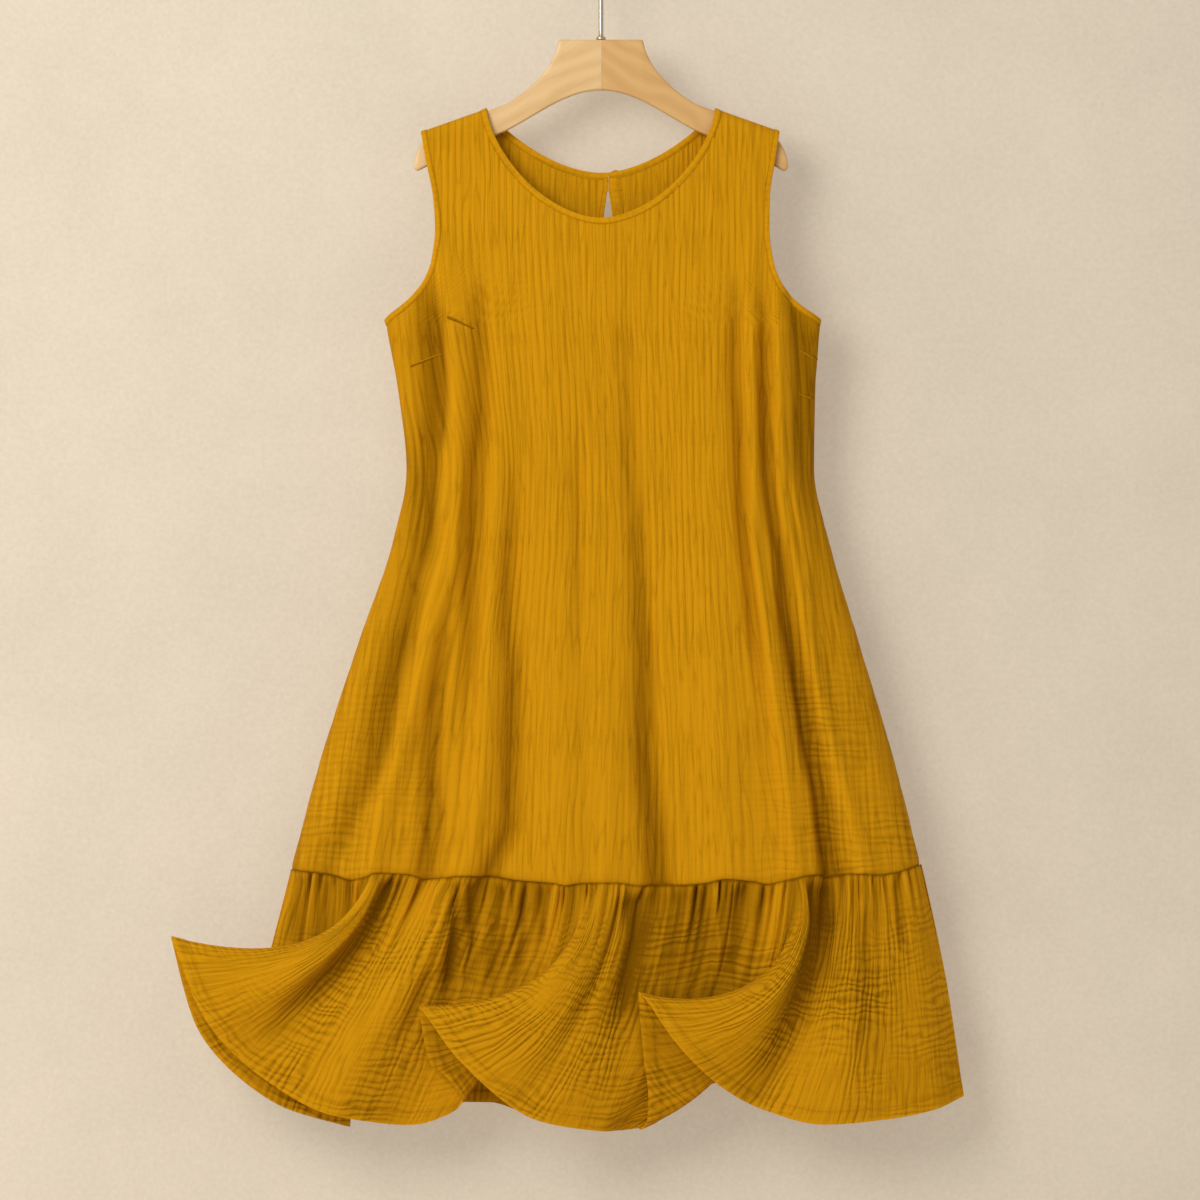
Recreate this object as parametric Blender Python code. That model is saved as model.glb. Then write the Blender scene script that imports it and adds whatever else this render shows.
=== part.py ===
"""A sleeveless A-line midi dress in crinkled cotton, hanging on a flat wooden hanger.

The frame is in metres: +X to the right as seen from the front, -Y towards the viewer, +Z up.
The origin is the inner top of the hook, where the hanger hangs.
Tables are in millimetres. A "drop" is measured down from the flat top of the hanger,
and a "lift" or "forward" is measured from the plane of the hanger towards the viewer.
"""

import math
from collections import namedtuple

import bmesh
import bpy
import numpy as np

MM = 0.001

# Driving dimensions
HOOK_RISE = 94.0  # the hanger's flat top lies this far below the origin
CLOTH = 1.5  # wall of the panels: two layers of gauze, crinkled
BINDING = 2.4  # wall of the bound edges, which hold a folded strip
NECK_BAND = 7.0  # width of the neck binding
ARM_BAND = 6.0  # width of the armhole bindings
KEYHOLE_BAND = 5.0
SEAM_GAP = 0.6  # between two pieces that are sewn together
SEAM_DROP = 829.0  # side seam's drop where the flounce is sewn on
UNDERARM = 279.0
SHOULDER_TIP = 92.0
NECK_POINT_X = 114.0
NECK_POINT_DROP = 69.0
SHOULDER_RUN = 65.0  # across, from a neck point to the shoulder's tip
SHOULDER_FALL = SHOULDER_TIP - NECK_POINT_DROP
FRONT_NECK_DEPTH = 109.5
FRONT_NECK_POWER = 0.66  # the lower, the squarer the neck
BACK_NECK_DEPTH = 63.0
BACK_NECK_POWER = 0.92
NECK_ROUNDING = 1.8
SHOULDER_ROLL = 9.0  # height in which the cloth turns over the hanger
SIDE_ROLL = 62.0  # width over which each panel rounds into the side seam
FLOUNCE_GAP = 0.8  # between the body and the flounce, whose seam wanders
FRONT_GATHER = 13.6  # one gather of the flounce seam
BACK_GATHER = 17.0
GATHER_FULL = 0.14  # share of the flounce's fall at which the gathers stand highest
FOLDS_START = 150.0  # drop at which the body's folds begin
FOLDS_FULL = 290.0

# Half the outline of the body, seen from the front, on each side
SideRow = namedtuple("SideRow", "drop left right")
SIDE_SEAMS = [
    SideRow(279, -215.5, 219.0),
    SideRow(360, -201, 213.5),
    SideRow(430, -194, 212.5),
    SideRow(500, -207, 227),
    SideRow(600, -241, 256.5),
    SideRow(715, -278.5, 291),
    SideRow(829, -309.5, 320),
]
ARMHOLES = [
    SideRow(92, -180, 178.5),
    SideRow(120, -175, 174),
    SideRow(160, -167.5, 168.5),
    SideRow(190, -165.5, 168),
    SideRow(220, -169, 171.5),
    SideRow(240, -176.5, 178),
    SideRow(256, -188.5, 189),
    SideRow(267, -200.5, 201.5),
    SideRow(274, -210, 212),
    SideRow(279, -215.5, 219),
]

# The seam between body and flounce swings up and down a little with the folds
SeamRow = namedtuple("SeamRow", "x drop")
SEAM = [
    SeamRow(-310, 829),
    SeamRow(-265, 834),
    SeamRow(-225, 831),
    SeamRow(-175, 838),
    SeamRow(-114, 835),
    SeamRow(-36, 841),
    SeamRow(45, 844),
    SeamRow(124, 838),
    SeamRow(166, 842),
    SeamRow(214, 834),
    SeamRow(228, 838),
    SeamRow(255, 832),
    SeamRow(320, 825),
]

# How far each panel stands off the hanger's plane
DepthRow = namedtuple("DepthRow", "drop front back")
DEPTHS = [
    DepthRow(60, 11.5, 11.5),
    DepthRow(110, 12, 11.5),
    DepthRow(170, 16, 13),
    DepthRow(230, 22, 17),
    DepthRow(300, 28, 21),
    DepthRow(430, 29, 23),
    DepthRow(600, 35, 27),
    DepthRow(830, 44, 34),
]

# Folds of the body, each below the underarm, at waist, hip and flounce seam: x, then how
# far it stands out there (negative for a trough), then its spread to the left and right
FOLD_DROPS = (300.0, 430.0, 600.0, 830.0)
Fold = namedtuple(
    "Fold",
    "name x_chest x_waist x_hip x_seam lift_chest lift_waist lift_hip lift_seam"
    " spread_left spread_right",
)
FRONT_FOLDS = [
    Fold("underarm_shade_left", -172, -166, -193, -270, -13, -13, -12, -7, 26, 10),
    Fold("first_ridge", -152, -144, -171, -228, 5, 7, 8, 8, 9, 14),
    Fold("second_valley", -120, -121, -133, -174, -6, -9, -9, -9, 12, 12),
    Fold("second_ridge", -100, -103, -113, -133, 2, 4, 6, 7, 13, 13),
    Fold("third_valley", -84, -86, -90, -104, 0, -4, -7, -9, 10, 12),
    Fold("left_crown", -50, -48, -45, -36, 2, 2, 4, 5, 26, 22),
    Fold("short_crease", -20, -23, -20, -12, -2, -4, -3, 0, 9, 9),
    Fold("centre_valley", 27, 33, 38, 58, -3, -6, -9, -11, 16, 17),
    Fold("right_crown", 96, 104, 112, 126, 2, 3, 5, 6, 30, 26),
    Fold("bust_crease", 137, 141, 154, 180, -6, -7, -5, 0, 9, 7),
    Fold("third_ridge", 149, 153, 168, 204, 4, 5, 7, 8, 8, 12),
    Fold("long_valley", 162, 167, 187, 231, -6, -9, -13, -14, 9, 17),
    Fold("fourth_ridge", 178, 181, 205, 262, 6, 5, 2, 2, 8, 10),
    Fold("underarm_shade_right", 200, 202, 220, 280, -13, -11, -5, -2, 8, 20),
]
BACK_FOLDS = [
    Fold("left_trough", -172, -160, -196, -248, -6, -8, -9, -10, 15, 17),
    Fold("left_ridge", -132, -124, -148, -196, 4, 5, 6, 8, 15, 17),
    Fold("inner_trough_left", -84, -80, -96, -128, -2, -6, -7, -9, 15, 16),
    Fold("centre_ridge_left", -40, -36, -42, -56, 0, 3, 5, 6, 18, 20),
    Fold("centre_trough", 7, 8, 8, 4, 0, -4, -6, -8, 16, 16),
    Fold("centre_ridge_right", 52, 50, 58, 72, 0, 3, 5, 7, 18, 20),
    Fold("inner_trough_right", 96, 92, 110, 140, -2, -6, -7, -9, 14, 16),
    Fold("right_ridge", 138, 132, 158, 206, 4, 5, 6, 8, 14, 16),
    Fold("right_trough", 178, 168, 206, 260, -6, -8, -9, -10, 15, 15),
]

# Ribs of the front flounce, from the left side seam round to the right one. Each falls
# from seam_x through a knee and a reach to the hem; forward is its distance from the
# hanger's plane half way down and at the hem. A roll turns left to its crest, back over
# itself, so its sliver shows the wrong side of the cloth.
Rib = namedtuple(
    "Rib",
    "name seam_x knee_x knee_drop reach_x reach_drop hem_x hem_drop forward_mid forward_hem",
)
FRONT_RIBS = [
    Rib("side_left", -309.5, -322, 880, -345, 965, -356, 1026, 0.25, 0.25),
    Rib("hidden_back", -276, -284, 905, -292, 990, -302, 1048, 20, 16),
    Rib("roll_a_root", -240, -246, 915, -246, 1020, -250, 1085, 28, 22),
    Rib("roll_a_sliver_low", -236, -250, 912, -300, 1010, -318, 1064, 36, 29),
    Rib("roll_a_sliver_high", -232, -250, 912, -342, 958, -402, 985, 42, 36),
    Rib("roll_a_crest", -228, -247, 910, -341, 920, -430, 900, 49, 41),
    Rib("roll_a_brow", -224, -244, 910, -339, 920, -427, 905, 57, 49),
    Rib("wing_upper", -218, -237, 905, -310, 945, -394, 974, 62, 54),
    Rib("wing_valley", -204, -221, 892, -280, 965, -344, 1029, 45, 44),
    Rib("wing_ridge", -161, -184, 900, -232, 990, -268, 1071, 52, 50),
    Rib("wing_trough", -104, -116, 905, -152, 1005, -193, 1083, 29, 20),
    Rib("roll_b_root", -40, -44, 935, -112, 1022, -149, 1071, 29, 20),
    Rib("roll_b_turn", -34, -37, 935, -103, 1010, -138, 1058, 36, 27),
    Rib("roll_b_rise", -28, -30, 932, -98, 1000, -149, 1040, 42, 36),
    Rib("roll_b_sliver", -22, -24, 940, -92, 1006, -171, 1017, 46, 42),
    Rib("roll_b_crest", -13, -15, 920, -82, 966, -181, 963, 59, 55),
    Rib("roll_b_brow", -8, -10, 918, -79, 966, -177, 967, 67, 64),
    Rib("roll_b_front", 2, 0, 915, -54, 985, -140, 1016, 70, 68),
    Rib("roll_b_belly", 26, 22, 920, -22, 1010, -62, 1076, 62, 60),
    Rib("roll_b_trough", 66, 60, 920, 36, 1010, 2, 1088, 40, 40),
    Rib("gather_bay", 128, 124, 925, 96, 1030, 18, 1089, 28, 20),
    Rib("roll_c_root", 181, 175, 960, 130, 1046, 38, 1087, 28, 16),
    Rib("roll_c_turn", 185, 181, 957, 137, 1046, 46, 1078, 37, 31),
    Rib("roll_c_rise", 188, 185, 953, 133, 1033, 47, 1054, 43, 38),
    Rib("roll_c_sliver", 191, 190, 945, 122, 1014, 42, 1012, 48, 44),
    Rib("roll_c_crest", 195, 212, 914, 134, 976, 37, 948, 59, 55),
    Rib("roll_c_brow", 198, 216, 912, 140, 977, 42, 953, 67, 64),
    Rib("roll_c_front", 202, 222, 915, 166, 988, 74, 998, 70, 68),
    Rib("roll_c_belly", 209, 227, 912, 186, 995, 118, 1042, 66, 58),
    Rib("roll_c_trough", 224, 233, 912, 206, 1004, 160, 1066, 40, 42),
    Rib("plain_ridge", 252, 254, 912, 246, 1000, 222, 1081, 47, 46),
    Rib("plain_trough", 281, 290, 912, 290, 1000, 282, 1077, 34, 36),
    Rib("plain_side", 304, 318, 905, 328, 990, 332, 1068, 24, 25),
    Rib("side_right", 320, 337, 893, 351, 970, 363, 1056, 0.25, 0.25),
]

# Ribs of the back flounce between the same two side seams; these fall nearly straight
BackRib = namedtuple("BackRib", "name seam_x hem_x hem_drop behind_mid behind_hem")
BACK_RIBS = [
    BackRib("flute_1", -278, -322, 1048, 22, 30),
    BackRib("flute_2", -236, -268, 1062, 38, 46),
    BackRib("flute_3", -190, -214, 1072, 28, 24),
    BackRib("flute_4", -140, -156, 1066, 40, 48),
    BackRib("flute_5", -92, -112, 1064, 30, 24),
    BackRib("flute_6", -44, -52, 1083, 40, 48),
    BackRib("flute_7", 8, 4, 1083, 30, 24),
    BackRib("flute_8", 60, 66, 1070, 41, 48),
    BackRib("flute_9", 110, 122, 1044, 30, 26),
    BackRib("flute_10", 160, 182, 1056, 40, 48),
    BackRib("flute_11", 212, 238, 1070, 28, 24),
    BackRib("flute_12", 262, 296, 1066, 36, 42),
    BackRib("flute_13", 298, 338, 1058, 20, 26),
]

# Keyhole at the back neck
KEYHOLE_X = 7.0
KEYHOLE_TOP = 150.0
KEYHOLE_LENGTH = 58.0
KEYHOLE_SWELL = 9.0
SLIT_HALF = 0.4

# Hanger, hook and button
WOOD_HALF = 6.5
WOOD_ROUNDING = 3.0
ARM_LENGTH = 187.0
SHOULDER_SEAT = 2.4  # from the line where the cloth turns over, down to the wood
CROWN_HALF = 42.0
ARCH_DROP = 50.3  # underside of the hanger at its middle
WIRE = 5.0
HOOK_RADIUS = 19.5  # to the middle of the wire
HOOK_TURN = (208, -38)  # degrees round the hook, from the stem's bend to the tip
HOOK_STEM_TOP = 40.0  # below the middle of the hook's round
COLLAR_RADIUS = 5.0
COLLAR_HEIGHT = 4.0
BUTTON_RADIUS = 5.5
BUTTON_THICK = 2.4
BUTTON_ASIDE = 8.0  # from the slit to the button's middle
LOOP_WIRE = 1.6
LOOP_GAP = 0.6  # between the button's edge and the loop

# Grids of the cloth
FRONT_ROWS = [765, 700, 640, 580, 520, 460, 405, 355, 315]  # drops below the armholes
BACK_ROWS = [750, 665, 580, 495, 415, 340]
# Shares of an armhole's length where the rows of each panel meet it, from the shoulder
FRONT_ARM_SHARES = [0, 0.006, 0.018, 0.045, 0.12, 0.24, 0.36, 0.48, 0.59, 0.69, 0.79, 0.9, 1]
BACK_ARM_SHARES = [0, 0.006, 0.018, 0.045, 0.085, 0.125, 0.165, 0.205, 0.245, 0.285, 0.32]
BACK_ARM_SHARES += [0.345, 0.44, 0.55, 0.66, 0.78, 0.9, 1]
# Distances along a neck edge at which it has come over the shoulder
OVER_SHOULDER = np.array([0.0, 1.3, 4.0, 9.5])
FRONT_NECK_STEPS = (16, 17)
BACK_NECK_STEPS = (10, 10)
FRONT_SHOULDER_STEPS = 6
BACK_SHOULDER_STEPS = 5
COLUMNS_TO_A_FOLD = 3
# Shares of a flounce's fall, from its seam to its hem
FRONT_FLOUNCE_ROWS = [0.0, 0.07, 0.17, 0.31, 0.47, 0.65, 0.83, 1.0]
BACK_FLOUNCE_ROWS = [0.0, 0.09, 0.24, 0.45, 0.72, 1.0]
ROLL_STEP = 12.5  # width of a facet where the hem rolls

COLOURS = {
    "cloth": ((0.60, 0.31, 0.012, 1.0), 0.9, 0.0),
    "binding": ((0.56, 0.29, 0.012, 1.0), 0.9, 0.0),
    "wood": ((0.72, 0.47, 0.20, 1.0), 0.45, 0.0),
    "steel": ((0.62, 0.60, 0.56, 1.0), 0.25, 1.0),
    "button": ((0.52, 0.27, 0.012, 1.0), 0.5, 0.0),
}


# Curves and sampling
def smooth_through(stations, values):
    """A smooth curve through the values at these stations that never overshoots them."""
    s = np.asarray(stations, float)
    v = np.asarray(values, float)
    step = np.diff(s).reshape((-1,) + (1,) * (v.ndim - 1))
    slope = np.diff(v, axis=0) / step
    lean = np.zeros_like(v)
    before, after = slope[:-1], slope[1:]
    same_way = before * after > 0
    total = np.where(same_way, before + after, 1.0)
    lean[1:-1] = np.where(same_way, 2.0 * before * after / total, 0.0)
    lean[0], lean[-1] = slope[0], slope[-1]

    def at(where):
        where = np.asarray(where, float)
        i = np.clip(np.searchsorted(s, where) - 1, 0, len(s) - 2)
        span = (s[i + 1] - s[i]).reshape(where.shape + (1,) * (v.ndim - 1))
        t = np.clip((where - s[i]).reshape(span.shape) / span, 0.0, 1.0)
        return (
            v[i] * (1 + 2 * t) * (1 - t) ** 2
            + lean[i] * span * t * (1 - t) ** 2
            + v[i + 1] * t * t * (3 - 2 * t)
            - lean[i + 1] * span * t * t * (1 - t)
        )

    return at


def bezier(points, t):
    """Points on the cubic curve with these four control points, at the shares t."""
    t = np.asarray(t, float)[:, None]
    a, b, c, d = (np.asarray(p, float) for p in points)
    return a * (1 - t) ** 3 + 3 * b * t * (1 - t) ** 2 + 3 * c * t * t * (1 - t) + d * t**3


def at_shares(line, shares):
    """Points of a dense line at these shares of its points."""
    where = np.linspace(0.0, 1.0, len(line))
    return np.stack([np.interp(shares, where, line[:, k]) for k in range(line.shape[1])], axis=1)


def evened(line):
    """The same line with its points at equal steps along its length."""
    run = np.concatenate([[0.0], np.cumsum(np.linalg.norm(np.diff(line, axis=0), axis=1))])
    where = np.linspace(0.0, run[-1], len(line))
    return np.stack([np.interp(where, run, line[:, k]) for k in (0, 1)], axis=1)


def moved_aside(line, width, first_way=None, last_way=None):
    """The flat line moved to its left by width; its ends slide along their own ways."""
    along = np.gradient(line, axis=0)
    along /= np.linalg.norm(along, axis=1, keepdims=True)
    left = np.stack([along[:, 1], -along[:, 0]], axis=1)
    heading = left.copy()
    share = np.linspace(0.0, 1.0, len(line))
    for way, end, reach in ((first_way, 0, share), (last_way, -1, 1.0 - share)):
        if way is not None:
            way = np.asarray(way, float) / np.linalg.norm(way)
            pull = np.clip(1.0 - reach / 0.12, 0.0, 1.0)[:, None]
            heading += pull * (way * np.sign(way @ left[end]) - left)
    return line + width * heading / np.sum(heading * left, axis=1, keepdims=True)


def in_frame(x, y, drop):
    """Millimetres across, back and down from the hanger's top, as points of the frame."""
    x, y, drop = np.broadcast_arrays(*(np.asarray(a, float) for a in (x, y, drop)))
    return np.stack([x, y, -(drop + HOOK_RISE)], axis=-1) * MM


# The two body panels as surfaces y(x, drop)
side_left = smooth_through([r.drop for r in SIDE_SEAMS], [r.left for r in SIDE_SEAMS])
side_right = smooth_through([r.drop for r in SIDE_SEAMS], [r.right for r in SIDE_SEAMS])
seam_drop = smooth_through([r.x for r in SEAM], [r.drop for r in SEAM])
front_depth = smooth_through([r.drop for r in DEPTHS], [r.front for r in DEPTHS])
back_depth = smooth_through([r.drop for r in DEPTHS], [r.back for r in DEPTHS])


def shoulder_drop(x):
    """The line on which the cloth turns over the hanger's arms."""
    return NECK_POINT_DROP + (np.abs(x) - NECK_POINT_X) * SHOULDER_FALL / SHOULDER_RUN


def quarter_round(share):
    """0 at 0, rising steeply and levelling out to 1 at 1, like a quarter of a circle."""
    return np.sqrt(1.0 - (1.0 - np.clip(share, 0.0, 1.0)) ** 2)


def round_side(x, drop):
    """0 at the side seams, rising over a rounded edge to 1 across the middle of the panel."""
    edge = np.minimum(x - side_left(drop), side_right(drop) - x)
    return quarter_round(edge / SIDE_ROLL)


def turn_over(x, drop):
    """0 on the shoulder line, rising over the roll to 1."""
    return quarter_round((drop - shoulder_drop(x)) / SHOULDER_ROLL)


def fold_lift(folds, x, drop):
    """What the folds add to a panel's lift; they start below the shoulders."""
    lift = np.zeros(np.broadcast(x, drop).shape)
    start = np.clip((drop - FOLDS_START) / (FOLDS_FULL - FOLDS_START), 0.0, 1.0)
    start = start * start * (3 - 2 * start)
    for f in folds:
        centre = smooth_through(FOLD_DROPS, (f.x_chest, f.x_waist, f.x_hip, f.x_seam))(drop)
        height = smooth_through(FOLD_DROPS, (f.lift_chest, f.lift_waist, f.lift_hip, f.lift_seam))
        spread = np.where(x < centre, f.spread_left, f.spread_right)
        lift += height(drop) * start * np.exp(-(((x - centre) / spread) ** 2))
    return lift


def panel_y(side, x, drop):
    """y of the front panel (side -1) or the back panel (side +1)."""
    depth, folds = (front_depth, FRONT_FOLDS) if side < 0 else (back_depth, BACK_FOLDS)
    rounding = round_side(x, drop)
    lift = depth(drop) * rounding + fold_lift(folds, x, drop) * rounding**2
    return side * (SEAM_GAP / 2 + turn_over(x, drop) * lift)


def panel_points(side, x, drop):
    return in_frame(x, panel_y(side, x, drop), drop)


def panel_normals(side, x, drop):
    """Unit normals of a panel, out of the garment, level with each seam that they meet."""
    step = 0.4
    slope_x = (panel_y(side, x + step, drop) - panel_y(side, x - step, drop)) / (2 * step)
    slope_d = (panel_y(side, x, drop + step) - panel_y(side, x, drop - step)) / (2 * step)
    normals = np.stack([-slope_x, np.ones_like(slope_x), slope_d], axis=-1) * side
    at_side = np.minimum(x - side_left(drop), side_right(drop) - x) < 0.05
    on_shoulder = drop - shoulder_drop(x) < 0.05
    outwards = np.stack([np.sign(x), 0 * x, 0 * x], axis=-1)
    normals = np.where((at_side & (drop > UNDERARM - 1))[..., None], outwards, normals)
    normals = np.where(on_shoulder[..., None], np.array([0.0, 0.0, 1.0]), normals)
    return normals / np.linalg.norm(normals, axis=-1, keepdims=True)


def level_with(normals, axis):
    """Normals with no part along this axis, for an edge that meets another piece there."""
    normals = normals.copy()
    normals[..., axis] = 0.0
    return normals / np.linalg.norm(normals, axis=-1, keepdims=True)


# Outlines of neck and armholes, as dense lines of (x, drop)
def neck_edge(depth, power, inset=0.0):
    """A neck edge from the left neck point to the right one, moved into the panel."""
    share = np.sin(np.linspace(-math.pi / 2, math.pi / 2, 401))
    fall = (1.0 - np.abs(share) ** NECK_ROUNDING) ** power
    line = evened(np.stack([NECK_POINT_X * share, NECK_POINT_DROP + depth * fall], axis=1))
    ways = [(hand * SHOULDER_RUN, SHOULDER_FALL) for hand in (-1, 1)]
    line = moved_aside(line, -inset, *ways)
    line[[0, -1], 1] = shoulder_drop(line[[0, -1], 0])
    return line


def front_neck(inset=0.0):
    return neck_edge(FRONT_NECK_DEPTH, FRONT_NECK_POWER, inset)


def back_neck(inset=0.0):
    return neck_edge(BACK_NECK_DEPTH, BACK_NECK_POWER, inset)


def armhole_edge(hand, inset=0.0):
    """An armhole's edge from the shoulder tip to the underarm, moved into the panel."""
    curve = smooth_through(
        [r.drop for r in ARMHOLES], [(r.left if hand < 0 else r.right) for r in ARMHOLES]
    )
    side = side_left if hand < 0 else side_right
    drops = np.linspace(SHOULDER_TIP, UNDERARM, 241)
    line = evened(np.stack([curve(drops), drops], axis=1))
    down_side = (float(side(UNDERARM + 8.0) - side(UNDERARM)), 8.0)
    line = moved_aside(line, -hand * inset, (hand * SHOULDER_RUN, SHOULDER_FALL), down_side)
    line[0, 1] = shoulder_drop(line[0, 0])
    line[-1, 0] = side(line[-1, 1])
    return line


# Solids
def wall(name, points, normals, quads, thick, material):
    """A closed wall, thick millimetres through, centred on a surface of quads."""
    count = len(points)
    half = normals * (thick * MM / 2)
    vertices = np.vstack([points + half, points - half])
    quads = np.asarray(quads)
    edges = np.concatenate([quads[:, [k, (k + 1) % 4]] for k in range(4)])
    keys, where, times = np.unique(
        np.sort(edges, axis=1), axis=0, return_index=True, return_counts=True
    )
    rim = edges[where[times == 1]]
    sides = np.stack([rim[:, 1], rim[:, 0], rim[:, 0] + count, rim[:, 1] + count], axis=1)
    faces = np.vstack([quads, quads[:, ::-1] + count, sides])
    return solid(name, vertices, faces.tolist(), material)


def solid(name, vertices, faces, material, smooth_below=40.0):
    mesh = bpy.data.meshes.new(name)
    mesh.from_pydata([tuple(v) for v in vertices], [], faces)
    mesh.validate()
    shape = bmesh.new()
    shape.from_mesh(mesh)
    bmesh.ops.recalc_face_normals(shape, faces=shape.faces)
    shape.to_mesh(mesh)
    shape.free()
    mesh.shade_smooth()
    mesh.set_sharp_from_angle(angle=math.radians(smooth_below))
    item = bpy.data.objects.new(name, mesh)
    item.data.materials.append(material)
    bpy.context.scene.collection.objects.link(item)
    return item


def grid_quads(index):
    """Quads over a grid of point numbers, turned so that rows going up face outwards."""
    a, b, c, d = index[:-1, :-1], index[:-1, 1:], index[1:, 1:], index[1:, :-1]
    return np.stack([a.ravel(), b.ravel(), c.ravel(), d.ravel()], axis=1)


def strip(name, rails, thick, material, closed=False):
    """A bound edge: a wall between two rails, each a pair of points and normals."""
    points = np.concatenate([rail[0] for rail in rails])
    normals = np.concatenate([rail[1] for rail in rails])
    index = np.arange(len(points)).reshape(2, -1)
    if closed:
        index = np.hstack([index, index[:, :1]])
    return wall(name, points, normals, grid_quads(index), thick, material)


def side_column(hand, rows, arm_shares):
    """Points of a panel's edge from the flounce seam up to the shoulder tip."""
    side = side_left if hand < 0 else side_right
    foot = float(seam_drop(side(SEAM_DROP))) - SEAM_GAP / 2
    lower = np.array([foot, *rows], float)
    upper = at_shares(armhole_edge(hand, ARM_BAND + SEAM_GAP), arm_shares)[::-1]
    return np.vstack([np.stack([side(lower), lower], axis=1), upper])


def top_row(neck, shares, steps_shoulder):
    """Points of a panel's top: along a shoulder, round the neck, along the other shoulder."""
    line = neck(NECK_BAND + SEAM_GAP)
    across = np.linspace(0.0, 1.0, steps_shoulder + 1)[:-1, None]
    tips = [armhole_edge(hand, ARM_BAND + SEAM_GAP)[0] for hand in (-1, 1)]
    left = tips[0] + (line[0] - tips[0]) * across
    right = tips[1] + (line[-1] - tips[1]) * across
    return np.vstack([left, at_shares(line, shares), right[::-1]])


def body_grid(folds, top, left, right):
    """x and drop of a panel's points. Its columns run along the folds, with the same number
    to each gap between two folds, so that ridges and valleys stay crisp."""
    columns = len(top)
    gaps = np.arange(columns) / COLUMNS_TO_A_FOLD
    edges = [np.interp(FOLD_DROPS, c[::-1, 1], c[::-1, 0]) for c in (left, right)]
    places = []
    for k, (low, high) in enumerate(zip(*edges)):
        lines = [low, *(f[1 + k] for f in folds), high]
        places.append((np.interp(gaps, np.arange(len(lines)), lines) - low) / (high - low))
    start, end = (np.interp(top[:, 1], c[::-1, 1], c[::-1, 0]) for c in (left, right))
    top_share = (top[:, 0] - start) / (end - start)
    low, high = (edge[-1] for edge in edges)
    bottom = seam_drop(low + places[-1] * (high - low)) - SEAM_GAP / 2
    level = (left[0, 1] - left[:, 1]) / (left[0, 1] - left[-1, 1])
    drop = bottom + (top[:, 1] - bottom) * level[:, None]
    x = np.empty_like(drop)
    for j in range(columns):
        stations = [top[j, 1], *FOLD_DROPS]
        share = smooth_through(stations, [top_share[j], *(p[j] for p in places)])(drop[:, j])
        start, end = (np.interp(drop[:, j], c[::-1, 1], c[::-1, 0]) for c in (left, right))
        x[:, j] = start + share * (end - start)
    x[:, 0], drop[:, 0] = left.T
    x[:, -1], drop[:, -1] = right.T
    return x, drop


def body_normals(side, x, drop):
    """A body panel's normals, level with the seams along its foot and sides."""
    normals = panel_normals(side, x, drop)
    normals[0] = level_with(normals[0], 2)
    return normals


def neck_shares(neck, middle_x, steps_left, steps_right):
    """Shares along a neck edge, close where it comes over the shoulders and otherwise in
    equal steps to the left and right of middle_x."""
    line = neck()
    length = np.linalg.norm(np.diff(line, axis=0), axis=1).sum()
    middle = float(np.interp(middle_x, line[:, 0], np.linspace(0.0, 1.0, len(line))))
    over = OVER_SHOULDER / length
    left = np.linspace(over[-1], middle, steps_left - len(over) + 2)
    right = np.linspace(middle, 1.0 - over[-1], steps_right - len(over) + 2)
    return np.concatenate([over[:-1], left, right[1:], 1.0 - over[-2::-1]])


def front_neck_shares():
    return neck_shares(front_neck, 0.0, *FRONT_NECK_STEPS)


def back_neck_shares():
    return neck_shares(back_neck, KEYHOLE_X, *BACK_NECK_STEPS)


def front_body(material):
    left, right = (side_column(hand, FRONT_ROWS, FRONT_ARM_SHARES) for hand in (-1, 1))
    top = top_row(front_neck, front_neck_shares(), FRONT_SHOULDER_STEPS)
    x, drop = body_grid(FRONT_FOLDS, top, left, right)
    index = np.arange(x.size).reshape(x.shape)
    points = panel_points(-1, x, drop).reshape(-1, 3)
    normals = body_normals(-1, x, drop).reshape(-1, 3)
    wall("front_body", points, normals, grid_quads(index), CLOTH, material)
    return x[0], drop[0]


def keyhole_half(inset):
    """The left half of the keyhole's edge from the slit's top to the foot, moved out."""
    drops = KEYHOLE_TOP + KEYHOLE_LENGTH * (1 - np.cos(np.linspace(0, math.pi, 121))) / 2
    share = (drops - KEYHOLE_TOP) / KEYHOLE_LENGTH
    half = SLIT_HALF + KEYHOLE_SWELL * share**0.75 * np.sqrt(np.clip(1 - share**4, 0, 1))
    half[-1] = 0.0
    slit_top = NECK_POINT_DROP + BACK_NECK_DEPTH + NECK_BAND + SEAM_GAP
    line = np.vstack([[-SLIT_HALF, slit_top], np.stack([-half, drops], axis=1)])
    line = moved_aside(line, -inset, (1, 0), (0, 1))
    line[0, 1] = slit_top
    line[-1, 0] = 0.0
    return line


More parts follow.
